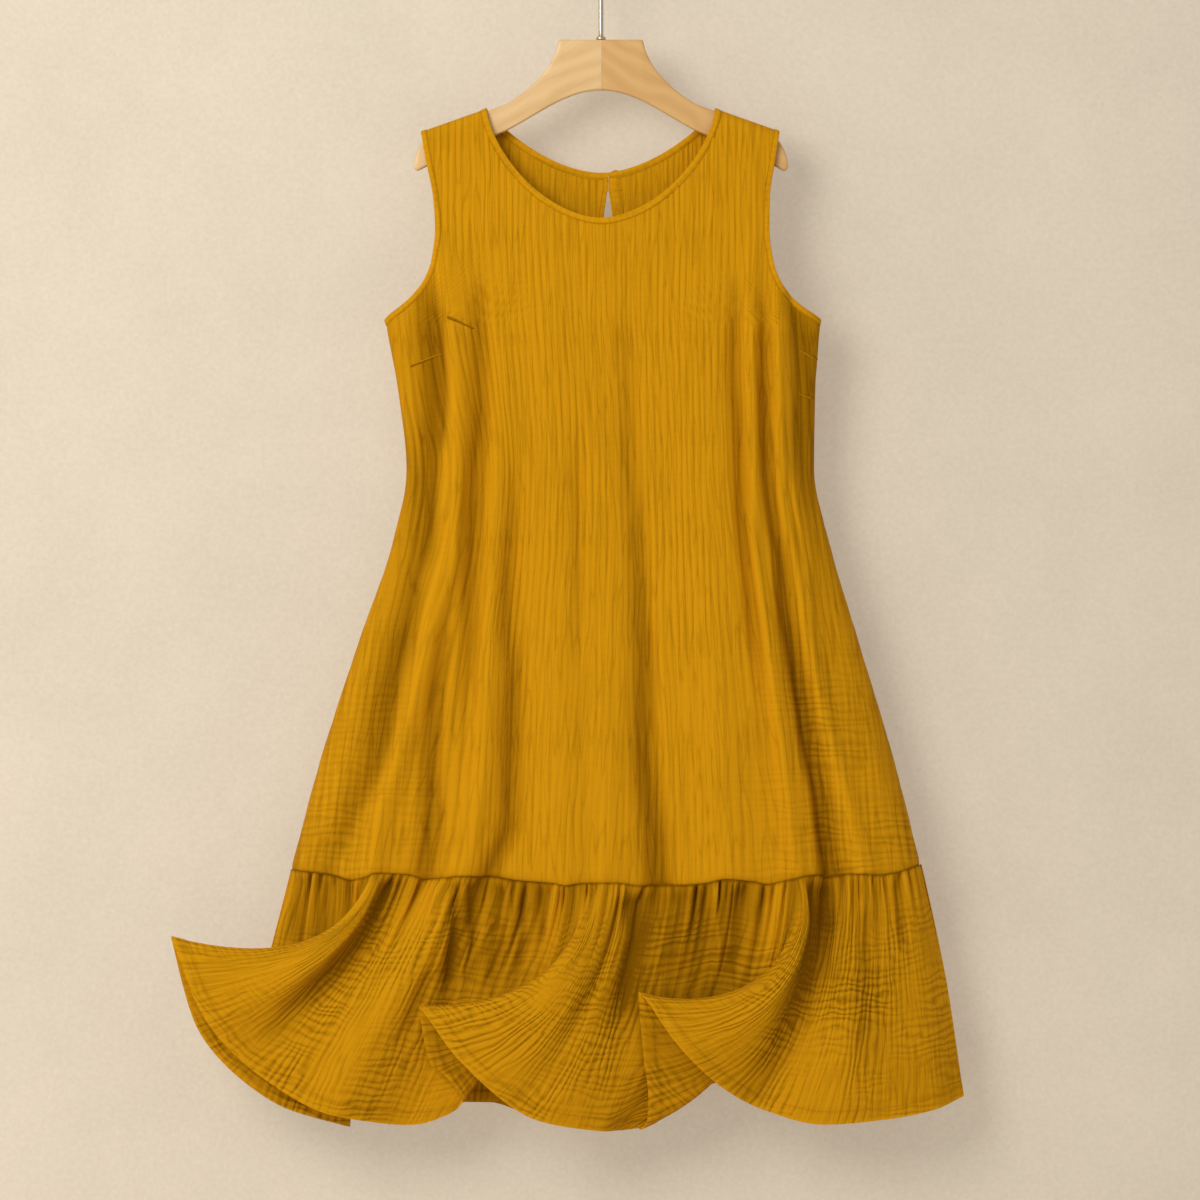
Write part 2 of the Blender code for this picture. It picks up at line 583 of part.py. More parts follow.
def back_body(material):
    """The back panel: two halves that part at the neck slit and join below the keyhole.
    Returns its foot, and where its rows meet the keyhole's edge."""
    left, right = (side_column(hand, BACK_ROWS, BACK_ARM_SHARES) for hand in (-1, 1))
    top = top_row(back_neck, back_neck_shares(), BACK_SHOULDER_STEPS)
    x, drop = body_grid(BACK_FOLDS, top, left, right)
    middle = x.shape[1] // 2
    edge = keyhole_half(KEYHOLE_BAND + SEAM_GAP)
    foot_row = int(np.argmin(np.abs(drop[:, middle] - edge[-1, 1])))
    drop[foot_row:, middle - 1 : middle + 2] += (edge[-1, 1] - drop[foot_row, middle]) * (
        np.linspace(1.0, 0.0, len(drop) - foot_row)[:, None] * np.array([0.6, 1.0, 0.6])
    )
    parted = -np.interp(drop[:, middle], edge[:, 1], edge[:, 0], right=0.0)
    parted[: foot_row + 1] = 0.0
    near = np.exp(-(((x - x[:, [middle]]) / 34.0) ** 2)) * (drop < edge[-1, 1] + 1e-6)
    shift = KEYHOLE_X - x[:, [middle]]
    halves = [x + near * (shift + hand * parted[:, None]) for hand in (-1, 1)]
    number = np.arange(x.size).reshape(x.shape)
    left_side, right_side = number[:, : middle + 1], number[:, middle:] + x.size
    right_side[: foot_row + 1, 0] = left_side[: foot_row + 1, -1]
    points = np.vstack([panel_points(1, h, drop).reshape(-1, 3) for h in halves])
    normals = np.vstack([body_normals(1, h, drop).reshape(-1, 3) for h in halves])
    quads = np.vstack([grid_quads(left_side), grid_quads(right_side)])
    used = np.unique(quads)
    quads = np.searchsorted(used, quads)
    wall("back_body", points[used], normals[used], quads, CLOTH, material)
    return (halves[0][0], drop[0]), drop[foot_row:, middle][::-1]


# Flounce
def front_rib(rib, seam):
    """The four control points (x, y, drop) of a front rib."""
    y, drop = seam(rib.seam_x)
    middle = (-8 * rib.forward_mid - y + rib.forward_hem) / 6
    return np.array(
        [
            (rib.seam_x, y, drop),
            (rib.knee_x, middle, rib.knee_drop),
            (rib.reach_x, middle, rib.reach_drop),
            (rib.hem_x, -rib.forward_hem, rib.hem_drop),
        ]
    )


def back_rib(rib, seam):
    """The four control points (x, y, drop) of a back rib, which falls nearly straight."""
    y, drop = seam(rib.seam_x)
    middle = (8 * rib.behind_mid - y - rib.behind_hem) / 6
    lean, fall = rib.hem_x - rib.seam_x, rib.hem_drop - drop
    return np.array(
        [
            (rib.seam_x, y, drop),
            (rib.seam_x + lean * 0.40, middle, drop + fall / 3),
            (rib.seam_x + lean * 0.78, middle, drop + fall * 2 / 3),
            (rib.hem_x, rib.behind_hem, rib.hem_drop),
        ]
    )


def grid_normals(points):
    """Unit normals of a grid of points."""
    normal = np.cross(np.gradient(points, axis=1), np.gradient(points, axis=0))
    return normal / np.maximum(np.linalg.norm(normal, axis=2, keepdims=True), 1e-12)


def gather_height(v):
    """How far the gathers stand at a share v of the way from the seam to the hem."""
    return 0.7 + 1.5 * np.exp(-((v / GATHER_FULL - 1.0) ** 2)) - 0.7 * v**0.6


def flounce(name, ribs, gather, rows, seam_line, material):
    """A gathered flounce, lofted across its ribs and sewn under a body panel. Its columns
    lie in turn on a gather's crest and in its trough."""
    top_x, top_y, top_drop = seam_line
    hems = np.array([rib[-1] for rib in ribs])
    starts = np.array([rib[0][0] for rib in ribs])
    hem_steps = np.linalg.norm(np.diff(hems, axis=0), axis=1)
    steps = np.maximum(2 * np.diff(starts) / gather, hem_steps / ROLL_STEP)
    steps = np.maximum(steps, 2.0)
    run = np.concatenate([[0.0], np.cumsum(steps)]) / steps.sum()
    t = np.linspace(0.0, 1.0, int(steps.sum()))
    v = np.array(rows)
    points = np.swapaxes(smooth_through(run, np.array([bezier(r, v) for r in ribs]))(t), 0, 1)
    seam_x = smooth_through(run, starts)(t)
    points[0, :, 1] = np.interp(seam_x, top_x, top_y)
    spacing = np.gradient(seam_x) * 2 / gather
    calm = np.clip((spacing - 0.35) / 0.4, 0.0, 1.0) * np.clip(np.minimum(t, 1 - t) / 0.03, 0, 1)
    wave = np.where(np.arange(len(t)) % 2, 1.0, -1.0)
    strength = 0.75 + 0.25 * np.sin(seam_x / 31.0 + 1.0)
    amount = gather_height(v)[:, None] * wave * strength * calm
    points = points + grid_normals(points) * amount[..., None]
    points[0, :, 2] = np.interp(points[0, :, 0], top_x, top_drop) + FLOUNCE_GAP
    world = in_frame(*np.moveaxis(points, 2, 0))
    normals = grid_normals(world)
    normals[0] = level_with(normals[0], 2)
    for column in (0, -1):
        normals[:, column] = level_with(normals[:, column], 1)
    index = np.arange(world[..., 0].size).reshape(world.shape[:2])
    wall(name, world.reshape(-1, 3), normals.reshape(-1, 3), grid_quads(index), CLOTH, material)


def seam_reader(seam_line):
    """Where the seam lies at x: its y and the drop of the flounce's edge."""
    x, y, drop = seam_line
    return lambda at: (np.interp(at, x, y), np.interp(at, x, drop) + FLOUNCE_GAP)


def front_flounce(seam_line, material):
    ribs = [front_rib(r, seam_reader(seam_line)) for r in FRONT_RIBS]
    flounce("front_flounce", ribs, FRONT_GATHER, FRONT_FLOUNCE_ROWS, seam_line, material)


def back_flounce(seam_line, material):
    """It shares its side seams with the front one."""
    x, y, drop = seam_line
    sides = [front_rib(FRONT_RIBS[k], seam_reader((x, -y, drop))) for k in (0, -1)]
    sides = [side * [1, -1, 1] for side in sides]
    middle = [back_rib(r, seam_reader(seam_line)) for r in BACK_RIBS]
    ribs = [sides[0], *middle, sides[1]]
    flounce("back_flounce", ribs, BACK_GATHER, BACK_FLOUNCE_ROWS, seam_line, material)


# Bound edges
def rail(side, line):
    """Points and normals of a panel along a flat line of (x, drop)."""
    x, drop = line[:, 0], line[:, 1]
    return panel_points(side, x, drop), panel_normals(side, x, drop)


def neck_binding(name, side, neck, shares, material):
    """The band along a neck edge, between these shares of it."""
    rails = [rail(side, at_shares(neck(inset), shares)) for inset in (NECK_BAND, 0.0)]
    strip(name, rails, BINDING, material)


def back_neck_bindings(material):
    """Two bands that end at the slit above the keyhole."""
    line = back_neck()
    where = np.linspace(0.0, 1.0, len(line))
    shares = back_neck_shares()
    slit = [np.interp(KEYHOLE_X + hand * SLIT_HALF, line[:, 0], where) for hand in (-1, 1)]
    left = np.append(shares[: BACK_NECK_STEPS[0]], slit[0])
    right = np.append(slit[1], shares[BACK_NECK_STEPS[0] + 1 :])
    neck_binding("neck_binding_back_left", 1, back_neck, left, material)
    neck_binding("neck_binding_back_right", 1, back_neck, right, material)


def armhole_binding(name, hand, material):
    """The ring round an armhole: down its front edge and up its back one."""
    rails = []
    for inset in (ARM_BAND, 0.0):
        line = armhole_edge(hand, inset)
        front = rail(-1, at_shares(line, FRONT_ARM_SHARES))
        back = rail(1, at_shares(line, BACK_ARM_SHARES[-2:0:-1]))
        points, normals = (np.concatenate(pair) for pair in zip(front, back))
        points[[0, len(FRONT_ARM_SHARES) - 1], 1] = 0.0
        rails.append((points, normals))
    if hand < 0:
        rails.reverse()
    strip(name, rails, BINDING, material, closed=True)


def keyhole_binding(row_drops, material):
    """The band round the keyhole, with a point at each row of the back panel."""
    meeting = keyhole_half(KEYHOLE_BAND + SEAM_GAP)
    shares = np.interp(row_drops, meeting[:, 1], np.linspace(0.0, 1.0, len(meeting)))
    shares[-1] = 1.0
    rails = []
    for inset in (KEYHOLE_BAND, 0.0):
        left = at_shares(keyhole_half(inset), shares)
        line = np.vstack([left, left[-2::-1] * [-1, 1]]) + [KEYHOLE_X, 0.0]
        rails.append(rail(1, line))
    strip("keyhole_binding", rails, BINDING, material)


# Hanger
def hanger_outline(steps=5):
    """Half the hanger, seen from the front, as (distance from the middle, drop)."""
    t = np.linspace(0.0, 1.0, steps + 1)
    end = ARM_LENGTH
    carry = [(x, float(shoulder_drop(x)) + SHOULDER_SEAT) for x in (NECK_POINT_X - 7, end - 27)]
    curves = [
        [(CROWN_HALF, 0), (CROWN_HALF + 5, 28), (70, 50), (95, 64.5)],
        [carry[1], (end - 17, carry[1][1] + 3.5), (end - 2, 103), (end, 126)],
        [(end - 5, 130.5), (160, 119), (130, 104), (101, 94)],
        [(101, 94), (65, 77), (36, ARCH_DROP), (0, ARCH_DROP)],
    ]
    crown, tip, under, arch = (bezier(c, t) for c in curves)
    return np.vstack([[[0.0, 0.0]], crown, [carry[0]], tip, under, arch[1:]])


def hanger_half(name, hand, material):
    """One wooden half, sawn to its outline from flat board and rounded over."""
    outline = hanger_outline()
    outline[[0, -1], 0] = SEAM_GAP / 2
    count = len(outline)
    rings = [
        in_frame(hand * outline[:, 0], y, outline[:, 1]) for y in (-WOOD_HALF, WOOD_HALF)
    ]
    around = np.arange(count)
    after = np.roll(around, -1)
    sides = np.stack([around, after, after + count, around + count], axis=1)
    faces = [around.tolist(), (around[::-1] + count).tolist(), *sides.tolist()]
    half = solid(name, np.vstack(rings), faces, material, 60.0)
    rounding = half.modifiers.new("rounded_edges", "BEVEL")
    rounding.width = WOOD_ROUNDING * MM
    rounding.segments = 2
    rounding.limit_method = "ANGLE"
    rounding.angle_limit = math.radians(60)
    return half


def hook_route():
    """The wire's middle line: up the stem, out to the left and over the top."""
    centre = -(HOOK_RADIUS - WIRE / 2)
    foot = -HOOK_RISE + SEAM_GAP + COLLAR_HEIGHT
    top = centre - HOOK_STEM_TOP
    angles = np.radians(np.linspace(*HOOK_TURN, 19))
    loop = np.stack([HOOK_RADIUS * np.cos(angles), centre + HOOK_RADIUS * np.sin(angles)], axis=1)
    bend = [(0.0, top), (0.0, top + 11.0), (-9.0, top + 15.0), tuple(loop[0])]
    sweep = bezier(bend, np.linspace(0, 1, 7))[:-1]
    stem = np.array([(0.0, foot), (0.0, (foot + top) / 2)])
    return np.vstack([stem, sweep, loop])


def wire(name, route, diameter, material, resolution=2):
    """A round wire along (x, y, z) points in millimetres."""
    curve = bpy.data.curves.new(name, "CURVE")
    curve.dimensions = "3D"
    line = curve.splines.new("POLY")
    line.points.add(len(route) - 1)
    for point, place in zip(line.points, route):
        point.co = (*(c * MM for c in place), 1.0)
    curve.bevel_depth = diameter * MM / 2
    curve.bevel_resolution = resolution
    curve.use_fill_caps = True
    curve.materials.append(material)
    item = bpy.data.objects.new(name, curve)
    bpy.context.scene.collection.objects.link(item)
    return item


def disc(name, centre, axis, radius, thick, rounding, material, segments=20):
    """A turned disc or collar, its edge rounded over."""
    shape = bmesh.new()
    bmesh.ops.create_cone(
        shape,
        cap_ends=True,
        segments=segments,
        radius1=radius * MM,
        radius2=radius * MM,
        depth=thick * MM,
    )
    rims = [e for e in shape.edges if abs(e.verts[0].co.z - e.verts[1].co.z) < 1e-7]
    bmesh.ops.bevel(shape, geom=rims, offset=rounding * MM, segments=2, affect="EDGES")
    mesh = bpy.data.meshes.new(name)
    shape.to_mesh(mesh)
    shape.free()
    mesh.shade_smooth()
    mesh.set_sharp_from_angle(angle=math.radians(50))
    mesh.materials.append(material)
    item = bpy.data.objects.new(name, mesh)
    item.location = [c * MM for c in centre]
    if axis == "y":
        item.rotation_euler = (math.pi / 2, 0.0, 0.0)
    bpy.context.scene.collection.objects.link(item)
    return item


def hanger(wood, steel):
    hanger_half("hanger_left", -1, wood)
    hanger_half("hanger_right", 1, wood)
    middle = -HOOK_RISE + (SEAM_GAP + COLLAR_HEIGHT) / 2
    disc("hook_collar", (0, 0, middle), "z", COLLAR_RADIUS, COLLAR_HEIGHT, 0.8, steel, 16)
    wire("hook", [(x, 0.0, z) for x, z in hook_route()], WIRE, steel)


def back_closure(button, cloth):
    """A button on one end of the back neck binding and a thread loop on the other."""
    x, drop = KEYHOLE_X + BUTTON_ASIDE, NECK_POINT_DROP + BACK_NECK_DEPTH + NECK_BAND / 2
    surface = float(panel_y(1, np.array(x), np.array(drop))) + BINDING / 2
    y = surface + 1.0 + BUTTON_THICK / 2
    z = -drop - HOOK_RISE
    disc("back_button", (x, y, z), "y", BUTTON_RADIUS, BUTTON_THICK, 0.7, button)
    reach = BUTTON_RADIUS + LOOP_GAP + LOOP_WIRE / 2
    lift = surface + 0.9 + LOOP_WIRE / 2
    turn = np.radians(np.linspace(145, -145, 15))
    bow = [(x + reach * math.cos(a), lift, z + reach * math.sin(a)) for a in turn]
    feet = [(KEYHOLE_X - BUTTON_ASIDE / 2, lift, z + hand * LOOP_WIRE) for hand in (1, -1)]
    wire("back_loop", [feet[0], *bow, feet[1]], LOOP_WIRE, cloth, 1)


def material(name):
    colour, roughness, metallic = COLOURS[name]
    finish = bpy.data.materials.new(name)
    finish.use_nodes = True
    shader = finish.node_tree.nodes["Principled BSDF"]
    shader.inputs["Base Color"].default_value = colour
    shader.inputs["Roughness"].default_value = roughness
    shader.inputs["Metallic"].default_value = metallic
    finish.diffuse_color = colour
    return finish


def main():
    for item in list(bpy.data.objects):
        bpy.data.objects.remove(item)
    cloth, binding, wood, steel, button = (
        material(name) for name in ("cloth", "binding", "wood", "steel", "button")
    )
    x, drop = front_body(cloth)
    front_flounce((x, panel_y(-1, x, drop), drop), cloth)
    (x, drop), keyhole_rows = back_body(cloth)
    back_flounce((x, panel_y(1, x, drop), drop), cloth)
    neck_binding("neck_binding_front", -1, front_neck, front_neck_shares(), binding)
    back_neck_bindings(binding)
    for hand, side in ((-1, "left"), (1, "right")):
        armhole_binding(f"armhole_binding_{side}", hand, binding)
    keyhole_binding(keyhole_rows, binding)
    back_closure(button, binding)
    hanger(wood, steel)


main()
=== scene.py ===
import math

import bpy
import numpy as np
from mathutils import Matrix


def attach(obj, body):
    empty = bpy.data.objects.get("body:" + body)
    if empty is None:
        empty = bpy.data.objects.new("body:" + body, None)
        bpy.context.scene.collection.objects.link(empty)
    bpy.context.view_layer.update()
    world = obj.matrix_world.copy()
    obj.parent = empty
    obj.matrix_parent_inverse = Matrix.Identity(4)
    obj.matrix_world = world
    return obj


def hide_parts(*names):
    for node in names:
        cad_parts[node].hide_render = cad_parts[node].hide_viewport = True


# A sleeveless A-line dress in crinkled double gauze, on a wooden hanger before a pale wall.
# Everything is in millimetres until inFrame() turns it into metres of the shared frame:
# x runs to the right, y back towards the wall, and "drop" down from the hanger's flat top.

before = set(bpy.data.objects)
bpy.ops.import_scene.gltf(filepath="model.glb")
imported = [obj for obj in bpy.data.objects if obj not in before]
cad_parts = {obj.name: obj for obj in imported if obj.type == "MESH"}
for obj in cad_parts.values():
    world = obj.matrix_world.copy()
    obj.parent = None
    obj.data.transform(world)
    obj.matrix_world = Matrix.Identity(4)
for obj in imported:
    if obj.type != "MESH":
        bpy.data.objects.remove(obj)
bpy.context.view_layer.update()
print("frame loaded")

mm = 0.001

dress = {
    "hookRise": 94.0,  # from the hanger's flat top up to the origin
    "cloth": 0.9,  # thickness of the gauze
    "hemFold": 1.9,  # thickness of the turned hem
    "underarm": 279.0,
    "sideSeamFoot": 829.0,
    "shoulderTip": 92.0,
    "neckPointX": 114.0,
    "neckPointDrop": 69.0,
    "shoulderEndX": 179.0,
    "shoulderRoll": 9.0,
    "sideRoll": 62.0,
    "neckBand": 7.0,
    "armBand": 6.0,
    "tuck": 1.2,  # how far a panel's edge runs under its binding
    "halfGap": 0.1,  # between each panel and the middle plane where the panels meet
    "foldGain": 1.12,
    "foldStart": (150.0, 290.0),  # the folds grow from nothing between these drops
    "necks": {-1: (109.5, 0.66), 1: (63.0, 0.92)},  # front and back: depth, power
    "sideSeams": [  # drop, left x, right x
        (279, -215.5, 219.0), (360, -201, 213.5), (430, -194, 212.5), (500, -207, 227),
        (600, -241, 256.5), (715, -278.5, 291), (829, -309.5, 320),
    ],
    "armholes": [  # drop, left x, right x
        (92, -180, 178.5), (120, -175, 174), (160, -167.5, 168.5), (190, -165.5, 168),
        (220, -169, 171.5), (240, -176.5, 178), (256, -188.5, 189), (267, -200.5, 201.5),
        (274, -210, 212), (279, -215.5, 219),
    ],
    "seam": [  # x, drop of the seam between body and flounce
        (-310, 829), (-286, 831), (-265, 834), (-248, 838), (-232, 834), (-225, 831),
        (-192, 832.5), (-175, 838), (-136, 834), (-114, 834.7), (-80, 838.6), (-49, 841),
        (-36, 843.4), (-17, 841), (16, 841), (39, 844), (81, 843), (103, 841), (123, 837),
        (148, 839), (166, 842), (189, 837), (214, 833), (224.5, 836), (249, 832), (278, 833),
        (320, 824),
    ],
    "depths": [  # drop, how far the front and the back stand off the hanger's plane
        (60, 11.5, 11.5), (110, 12, 11.5), (170, 16, 13), (230, 22, 17), (300, 28, 21),
        (430, 29, 23), (600, 35, 27), (830, 44, 34),
    ],
}

# Folds of the front: rows of drop, x, lift, and the spread to the left and right
frontFolds = {
    "underarmShadeLeft": [
        (240, -170, -8, 20, 7), (300, -162, -13, 24, 8), (360, -159, -13, 26, 8),
        (430, -167, -12, 26, 8), (505, -172, -11, 24, 8), (545, -183, -10, 22, 9),
        (600, -194, -11, 26, 9), (650, -207, -11, 28, 10), (725, -222, -10, 26, 11),
        (772, -245, -8, 24, 12), (830, -271, -7, 26, 12),
    ],
    "firstRidge": [
        (240, -157, 3, 6, 12), (300, -151, 6, 6, 13), (360, -146, 8, 6, 14),
        (505, -147, 8, 6, 14), (585, -167, 8, 7, 14), (650, -184, 8, 8, 14),
        (715, -202, 8, 9, 14), (760, -216, 7, 10, 14), (830, -228, 7, 10, 14),
    ],
    "secondValley": [
        (230, -121, 0, 8, 8), (260, -120, -6, 9, 9), (305, -120, -7, 9, 9),
        (369, -118, -8, 9, 9), (430, -124, -9, 10, 10), (540, -128, -9, 11, 11),
        (600, -129, -8, 11, 11), (650, -131, -6, 11, 11), (710, -136, -2, 11, 11),
        (760, -140, 0, 11, 11),
    ],
    "lowerValley": [
        (530, -146, 0, 10, 10), (560, -151, -3, 10, 10), (620, -158, -6, 10, 10),
        (680, -164, -8, 10, 10), (740, -168, -9, 11, 11), (782, -168, -9, 11, 12),
        (830, -173, -9, 12, 12),
    ],
    "secondRidge": [
        (300, -98, 1, 12, 12), (360, -96, 3, 12, 12), (460, -104, 4, 13, 13),
        (560, -111, 6, 13, 13), (650, -115, 7, 14, 14), (725, -118, 8, 15, 15),
        (830, -133, 7, 15, 14),
    ],
    "thirdValley": [
        (400, -84, 0, 8, 9), (460, -84, -4, 8, 9), (505, -89, -6, 8, 9),
        (585, -91, -7, 9, 10), (633, -86, -8, 9, 11), (686, -88, -9, 9, 12),
        (782, -91, -9, 9, 12), (830, -109, -9, 10, 12),
    ],
    "leftCrown": [
        (300, -50, 2, 26, 22), (430, -48, 2, 26, 22), (600, -45, 4, 26, 22), (830, -36, 5, 26, 22),
    ],
    "shortCrease": [
        (380, -22, 0, 6, 6), (430, -22, -3, 6, 6), (520, -21, -3.5, 6, 6),
        (600, -21, -2, 7, 7), (640, -20, 0, 7, 7),
    ],
    "middleRidge": [(560, 4, 0, 16, 14), (640, 5, 2, 16, 14), (830, 8, 4, 16, 14)],
    "centreValley": [
        (260, 28, -1, 11, 9), (305, 29, -3, 12, 9), (370, 31, -4, 13, 9),
        (430, 32, -5, 13, 9), (474, 37, -6, 13, 9), (522, 40, -7, 13, 9),
        (570, 42, -8, 13, 9), (617, 45, -9, 13, 10), (705, 45, -10, 13, 11),
        (753, 49, -11, 14, 12), (801, 55, -11, 14, 13), (834, 57, -11, 14, 14),
    ],
    "rightCrown": [
        (300, 96, 2, 30, 24), (430, 104, 3, 30, 24), (600, 112, 5, 30, 24), (830, 126, 6, 30, 24),
    ],
    "bustCrease": [
        (230, 136, 0, 7, 5), (250, 136, -4, 7, 5), (321, 135, -6, 8, 5), (385, 138, -7, 8, 6),
        (474, 141, -7, 8, 6), (514, 146, -7, 8, 6), (545, 150, -7, 8, 6), (585, 154, -6, 8, 6),
        (642, 162, -4, 8, 6), (744, 172, -1, 8, 6), (800, 180, 0, 8, 6),
    ],
    "thirdRidge": [
        (250, 149, 3, 5, 7), (321, 150, 4, 5, 7), (430, 151, 5, 5, 8), (490, 152, 6, 6, 8),
        (554, 158, 7, 6, 9), (600, 165, 7, 7, 9), (656, 172, 8, 8, 10), (706, 179, 8, 8, 11),
        (782, 188, 8, 8, 12), (830, 194, 8, 8, 12),
    ],
    "longValley": [
        (250, 162, -3, 5, 8), (274, 162, -6, 5, 9), (338, 162, -8, 5, 9), (385, 163, -9, 5, 9),
        (442, 166, -9, 5, 10), (490, 173, -10, 6, 11), (522, 179, -11, 6, 12),
        (569, 182, -12, 6, 12), (601, 187, -13, 6, 13), (667, 198, -14, 6, 14),
        (715, 206, -14, 6, 15), (751, 214, -14, 6, 15), (790, 219, -15, 6, 16),
        (832, 224, -15, 6, 17),
    ],
    "sideCrease": [
        (430, 184, 0, 5, 5), (458, 187, -4, 5, 5), (506, 197, -4, 5, 5),
        (545, 203, -1, 5, 5), (570, 206, 0, 5, 5),
    ],
    "fourthRidge": [
        (250, 174, 2, 6, 8), (300, 177, 6, 6, 8), (380, 178, 6, 7, 8), (450, 182, 5, 7, 9),
        (600, 205, 2, 9, 10), (830, 262, 2, 10, 12),
    ],
    "underarmShadeRight": [
        (240, 188, -6, 5, 14), (269, 191, -11, 5, 18), (300, 196, -13, 6, 20),
        (338, 198, -13, 6, 20), (401, 197, -12, 6, 18), (457, 203, -9, 6, 16),
        (520, 214, -5, 8, 16), (600, 220, -5, 8, 20), (830, 280, -2, 8, 20),
    ],
}

# Folds of the back, which the photo hides, uneven like the front's. Each has its x and lift at
# four drops, and one spread to the left and right
backFolds = {
    name: [(*station, *spread) for station in zip((300, 430, 600, 830), places, lifts)]
    for name, places, lifts, spread in (
        ("leftTrough", (-172, -160, -196, -248), (-6, -8, -9, -10), (15, 17)),
        ("leftRidge", (-132, -124, -148, -196), (4, 5, 6, 8), (15, 17)),
        ("innerTroughLeft", (-84, -80, -96, -128), (-2, -6, -7, -9), (15, 16)),
        ("centreRidgeLeft", (-40, -36, -42, -56), (0, 3, 5, 6), (18, 20)),
        ("centreTrough", (7, 8, 8, 4), (0, -4, -6, -8), (16, 16)),
        ("centreRidgeRight", (52, 50, 58, 72), (0, 3, 5, 7), (18, 20)),
        ("innerTroughRight", (96, 92, 110, 140), (-2, -6, -7, -9), (14, 16)),
        ("rightRidge", (138, 132, 158, 206), (4, 5, 6, 8), (14, 16)),
        ("rightTrough", (178, 168, 206, 260), (-6, -8, -9, -10), (15, 15)),
    )
}


# Curves and noise
def smoothThrough(stations, values):
    # A cubic between neighbouring values whose slope is the harmonic mean of the slopes on
    # both sides, and level at a turning point, so that it never overshoots
    s = np.asarray(stations, float)
    v = np.asarray(values, float)
    slope = np.diff(v, axis=0) / np.diff(s).reshape((-1,) + (1,) * (v.ndim - 1))
    lean = np.zeros_like(v)
    before, after = slope[:-1], slope[1:]
    sameWay = before * after > 0
    total = np.where(sameWay, before + after, 1.0)
    lean[1:-1] = np.where(sameWay, 2.0 * before * after / total, 0.0)
    lean[0], lean[-1] = slope[0], slope[-1]

    def at(where):
        where = np.asarray(where, float)
        i = np.clip(np.searchsorted(s, where) - 1, 0, len(s) - 2)
        span = (s[i + 1] - s[i]).reshape(where.shape + (1,) * (v.ndim - 1))
        t = np.clip((where - s[i]).reshape(span.shape) / span, 0.0, 1.0)
        return (
            v[i] * (1 + 2 * t) * (1 - t) ** 2
            + lean[i] * span * t * (1 - t) ** 2
            + v[i + 1] * t * t * (3 - 2 * t)
            - lean[i + 1] * span * t * t * (1 - t)
        )

    return at


def bezier(points, t):
    # The cubic Bezier curve of four control points
    t = np.asarray(t, float)[:, None]
    a, b, c, d = (np.asarray(p, float) for p in points)
    return a * (1 - t) ** 3 + 3 * b * t * (1 - t) ** 2 + 3 * c * t * t * (1 - t) + d * t**3


def smoothStep(x, low, high):
    # 0 below low and 1 above high, with a smooth S between
    t = np.clip((x - low) / (high - low), 0.0, 1.0)
    return t * t * (3 - 2 * t)


def bell(distance, width):
    # 1 in the middle and falling on both sides, as e to minus the square
    return np.exp(-((distance / width) ** 2))


def unit(vectors):
    # The same directions at length one
    return vectors / np.linalg.norm(vectors, axis=-1, keepdims=True)


def fullTurn(count):
    # Equal angles round a circle
    return np.linspace(0.0, 2 * math.pi, count, endpoint=False)


def runAlong(line):
    # The length from the line's start to each of its points
    return np.concatenate([[0.0], np.cumsum(np.linalg.norm(np.diff(line, axis=0), axis=1))])


def readAt(where, stations, line):
    # The columns of a line, read at other places than its own stations
    return np.stack([np.interp(where, stations, values) for values in line.T], axis=-1)


def atShares(line, shares):
    return readAt(shares, np.linspace(0.0, 1.0, len(line)), line)


noiseTable = np.random.default_rng(20).uniform(-1.0, 1.0, (8, 256, 256))


def noise(u, v, layer=0):
    # Random values from -1 to 1 on the whole numbers of a plane, smoothly blended between
    u, v = np.broadcast_arrays(np.asarray(u, float), np.asarray(v, float))
    i, j = np.floor(u).astype(int), np.floor(v).astype(int)
    s, t = u - i, v - j
    s, t = s * s * (3 - 2 * s), t * t * (3 - 2 * t)
    table = noiseTable[layer]
    a, b = table[i % 256, j % 256], table[(i + 1) % 256, j % 256]
    c, d = table[i % 256, (j + 1) % 256], table[(i + 1) % 256, (j + 1) % 256]
    return (a * (1 - s) + b * s) * (1 - t) + (c * (1 - s) + d * s) * t


def evened(line, count):
    # The line with its points at equal steps along its length
    run = runAlong(line)
    return readAt(np.linspace(0.0, run[-1], count), run, line)


def movedAside(line, width, firstWay=None, lastWay=None):
    # The flat line moved to its left by width; near an end the move turns to that end's way
    along = unit(np.gradient(line, axis=0))
    left = np.stack([along[:, 1], -along[:, 0]], axis=1)
    heading = left.copy()
    share = np.linspace(0.0, 1.0, len(line))
    for way, end, reach in ((firstWay, 0, share), (lastWay, -1, 1.0 - share)):
        if way is not None:
            way = unit(np.asarray(way, float))
            pull = np.clip(1.0 - reach / 0.12, 0.0, 1.0)[:, None]
            heading += pull * (way * np.sign(way @ left[end]) - left)
    return line + width * heading / np.sum(heading * left, axis=1, keepdims=True)


def inFrame(x, y, drop):
    # From millimetres on the dress to metres in the shared frame
    x, y, drop = np.broadcast_arrays(*(np.asarray(a, float) for a in (x, y, drop)))
    return np.stack([x, y, -(drop + dress["hookRise"])], axis=-1) * mm


def columnsOf(rows, *columns):
    return smoothThrough([r[0] for r in rows], np.array([[r[c] for c in columns] for r in rows]))


# The two panels of the body as surfaces
sideEdges = columnsOf(dress["sideSeams"], 1, 2)
armEdges = columnsOf(dress["armholes"], 1, 2)
panelDepths = columnsOf(dress["depths"], 1, 2)
seamDrop = smoothThrough([r[0] for r in dress["seam"]], [r[1] for r in dress["seam"]])
shoulderFall = (dress["shoulderTip"] - dress["neckPointDrop"]) / (
    dress["shoulderEndX"] - dress["neckPointX"]
)


def shoulderDrop(x):
    return dress["neckPointDrop"] + (np.abs(x) - dress["neckPointX"]) * shoulderFall


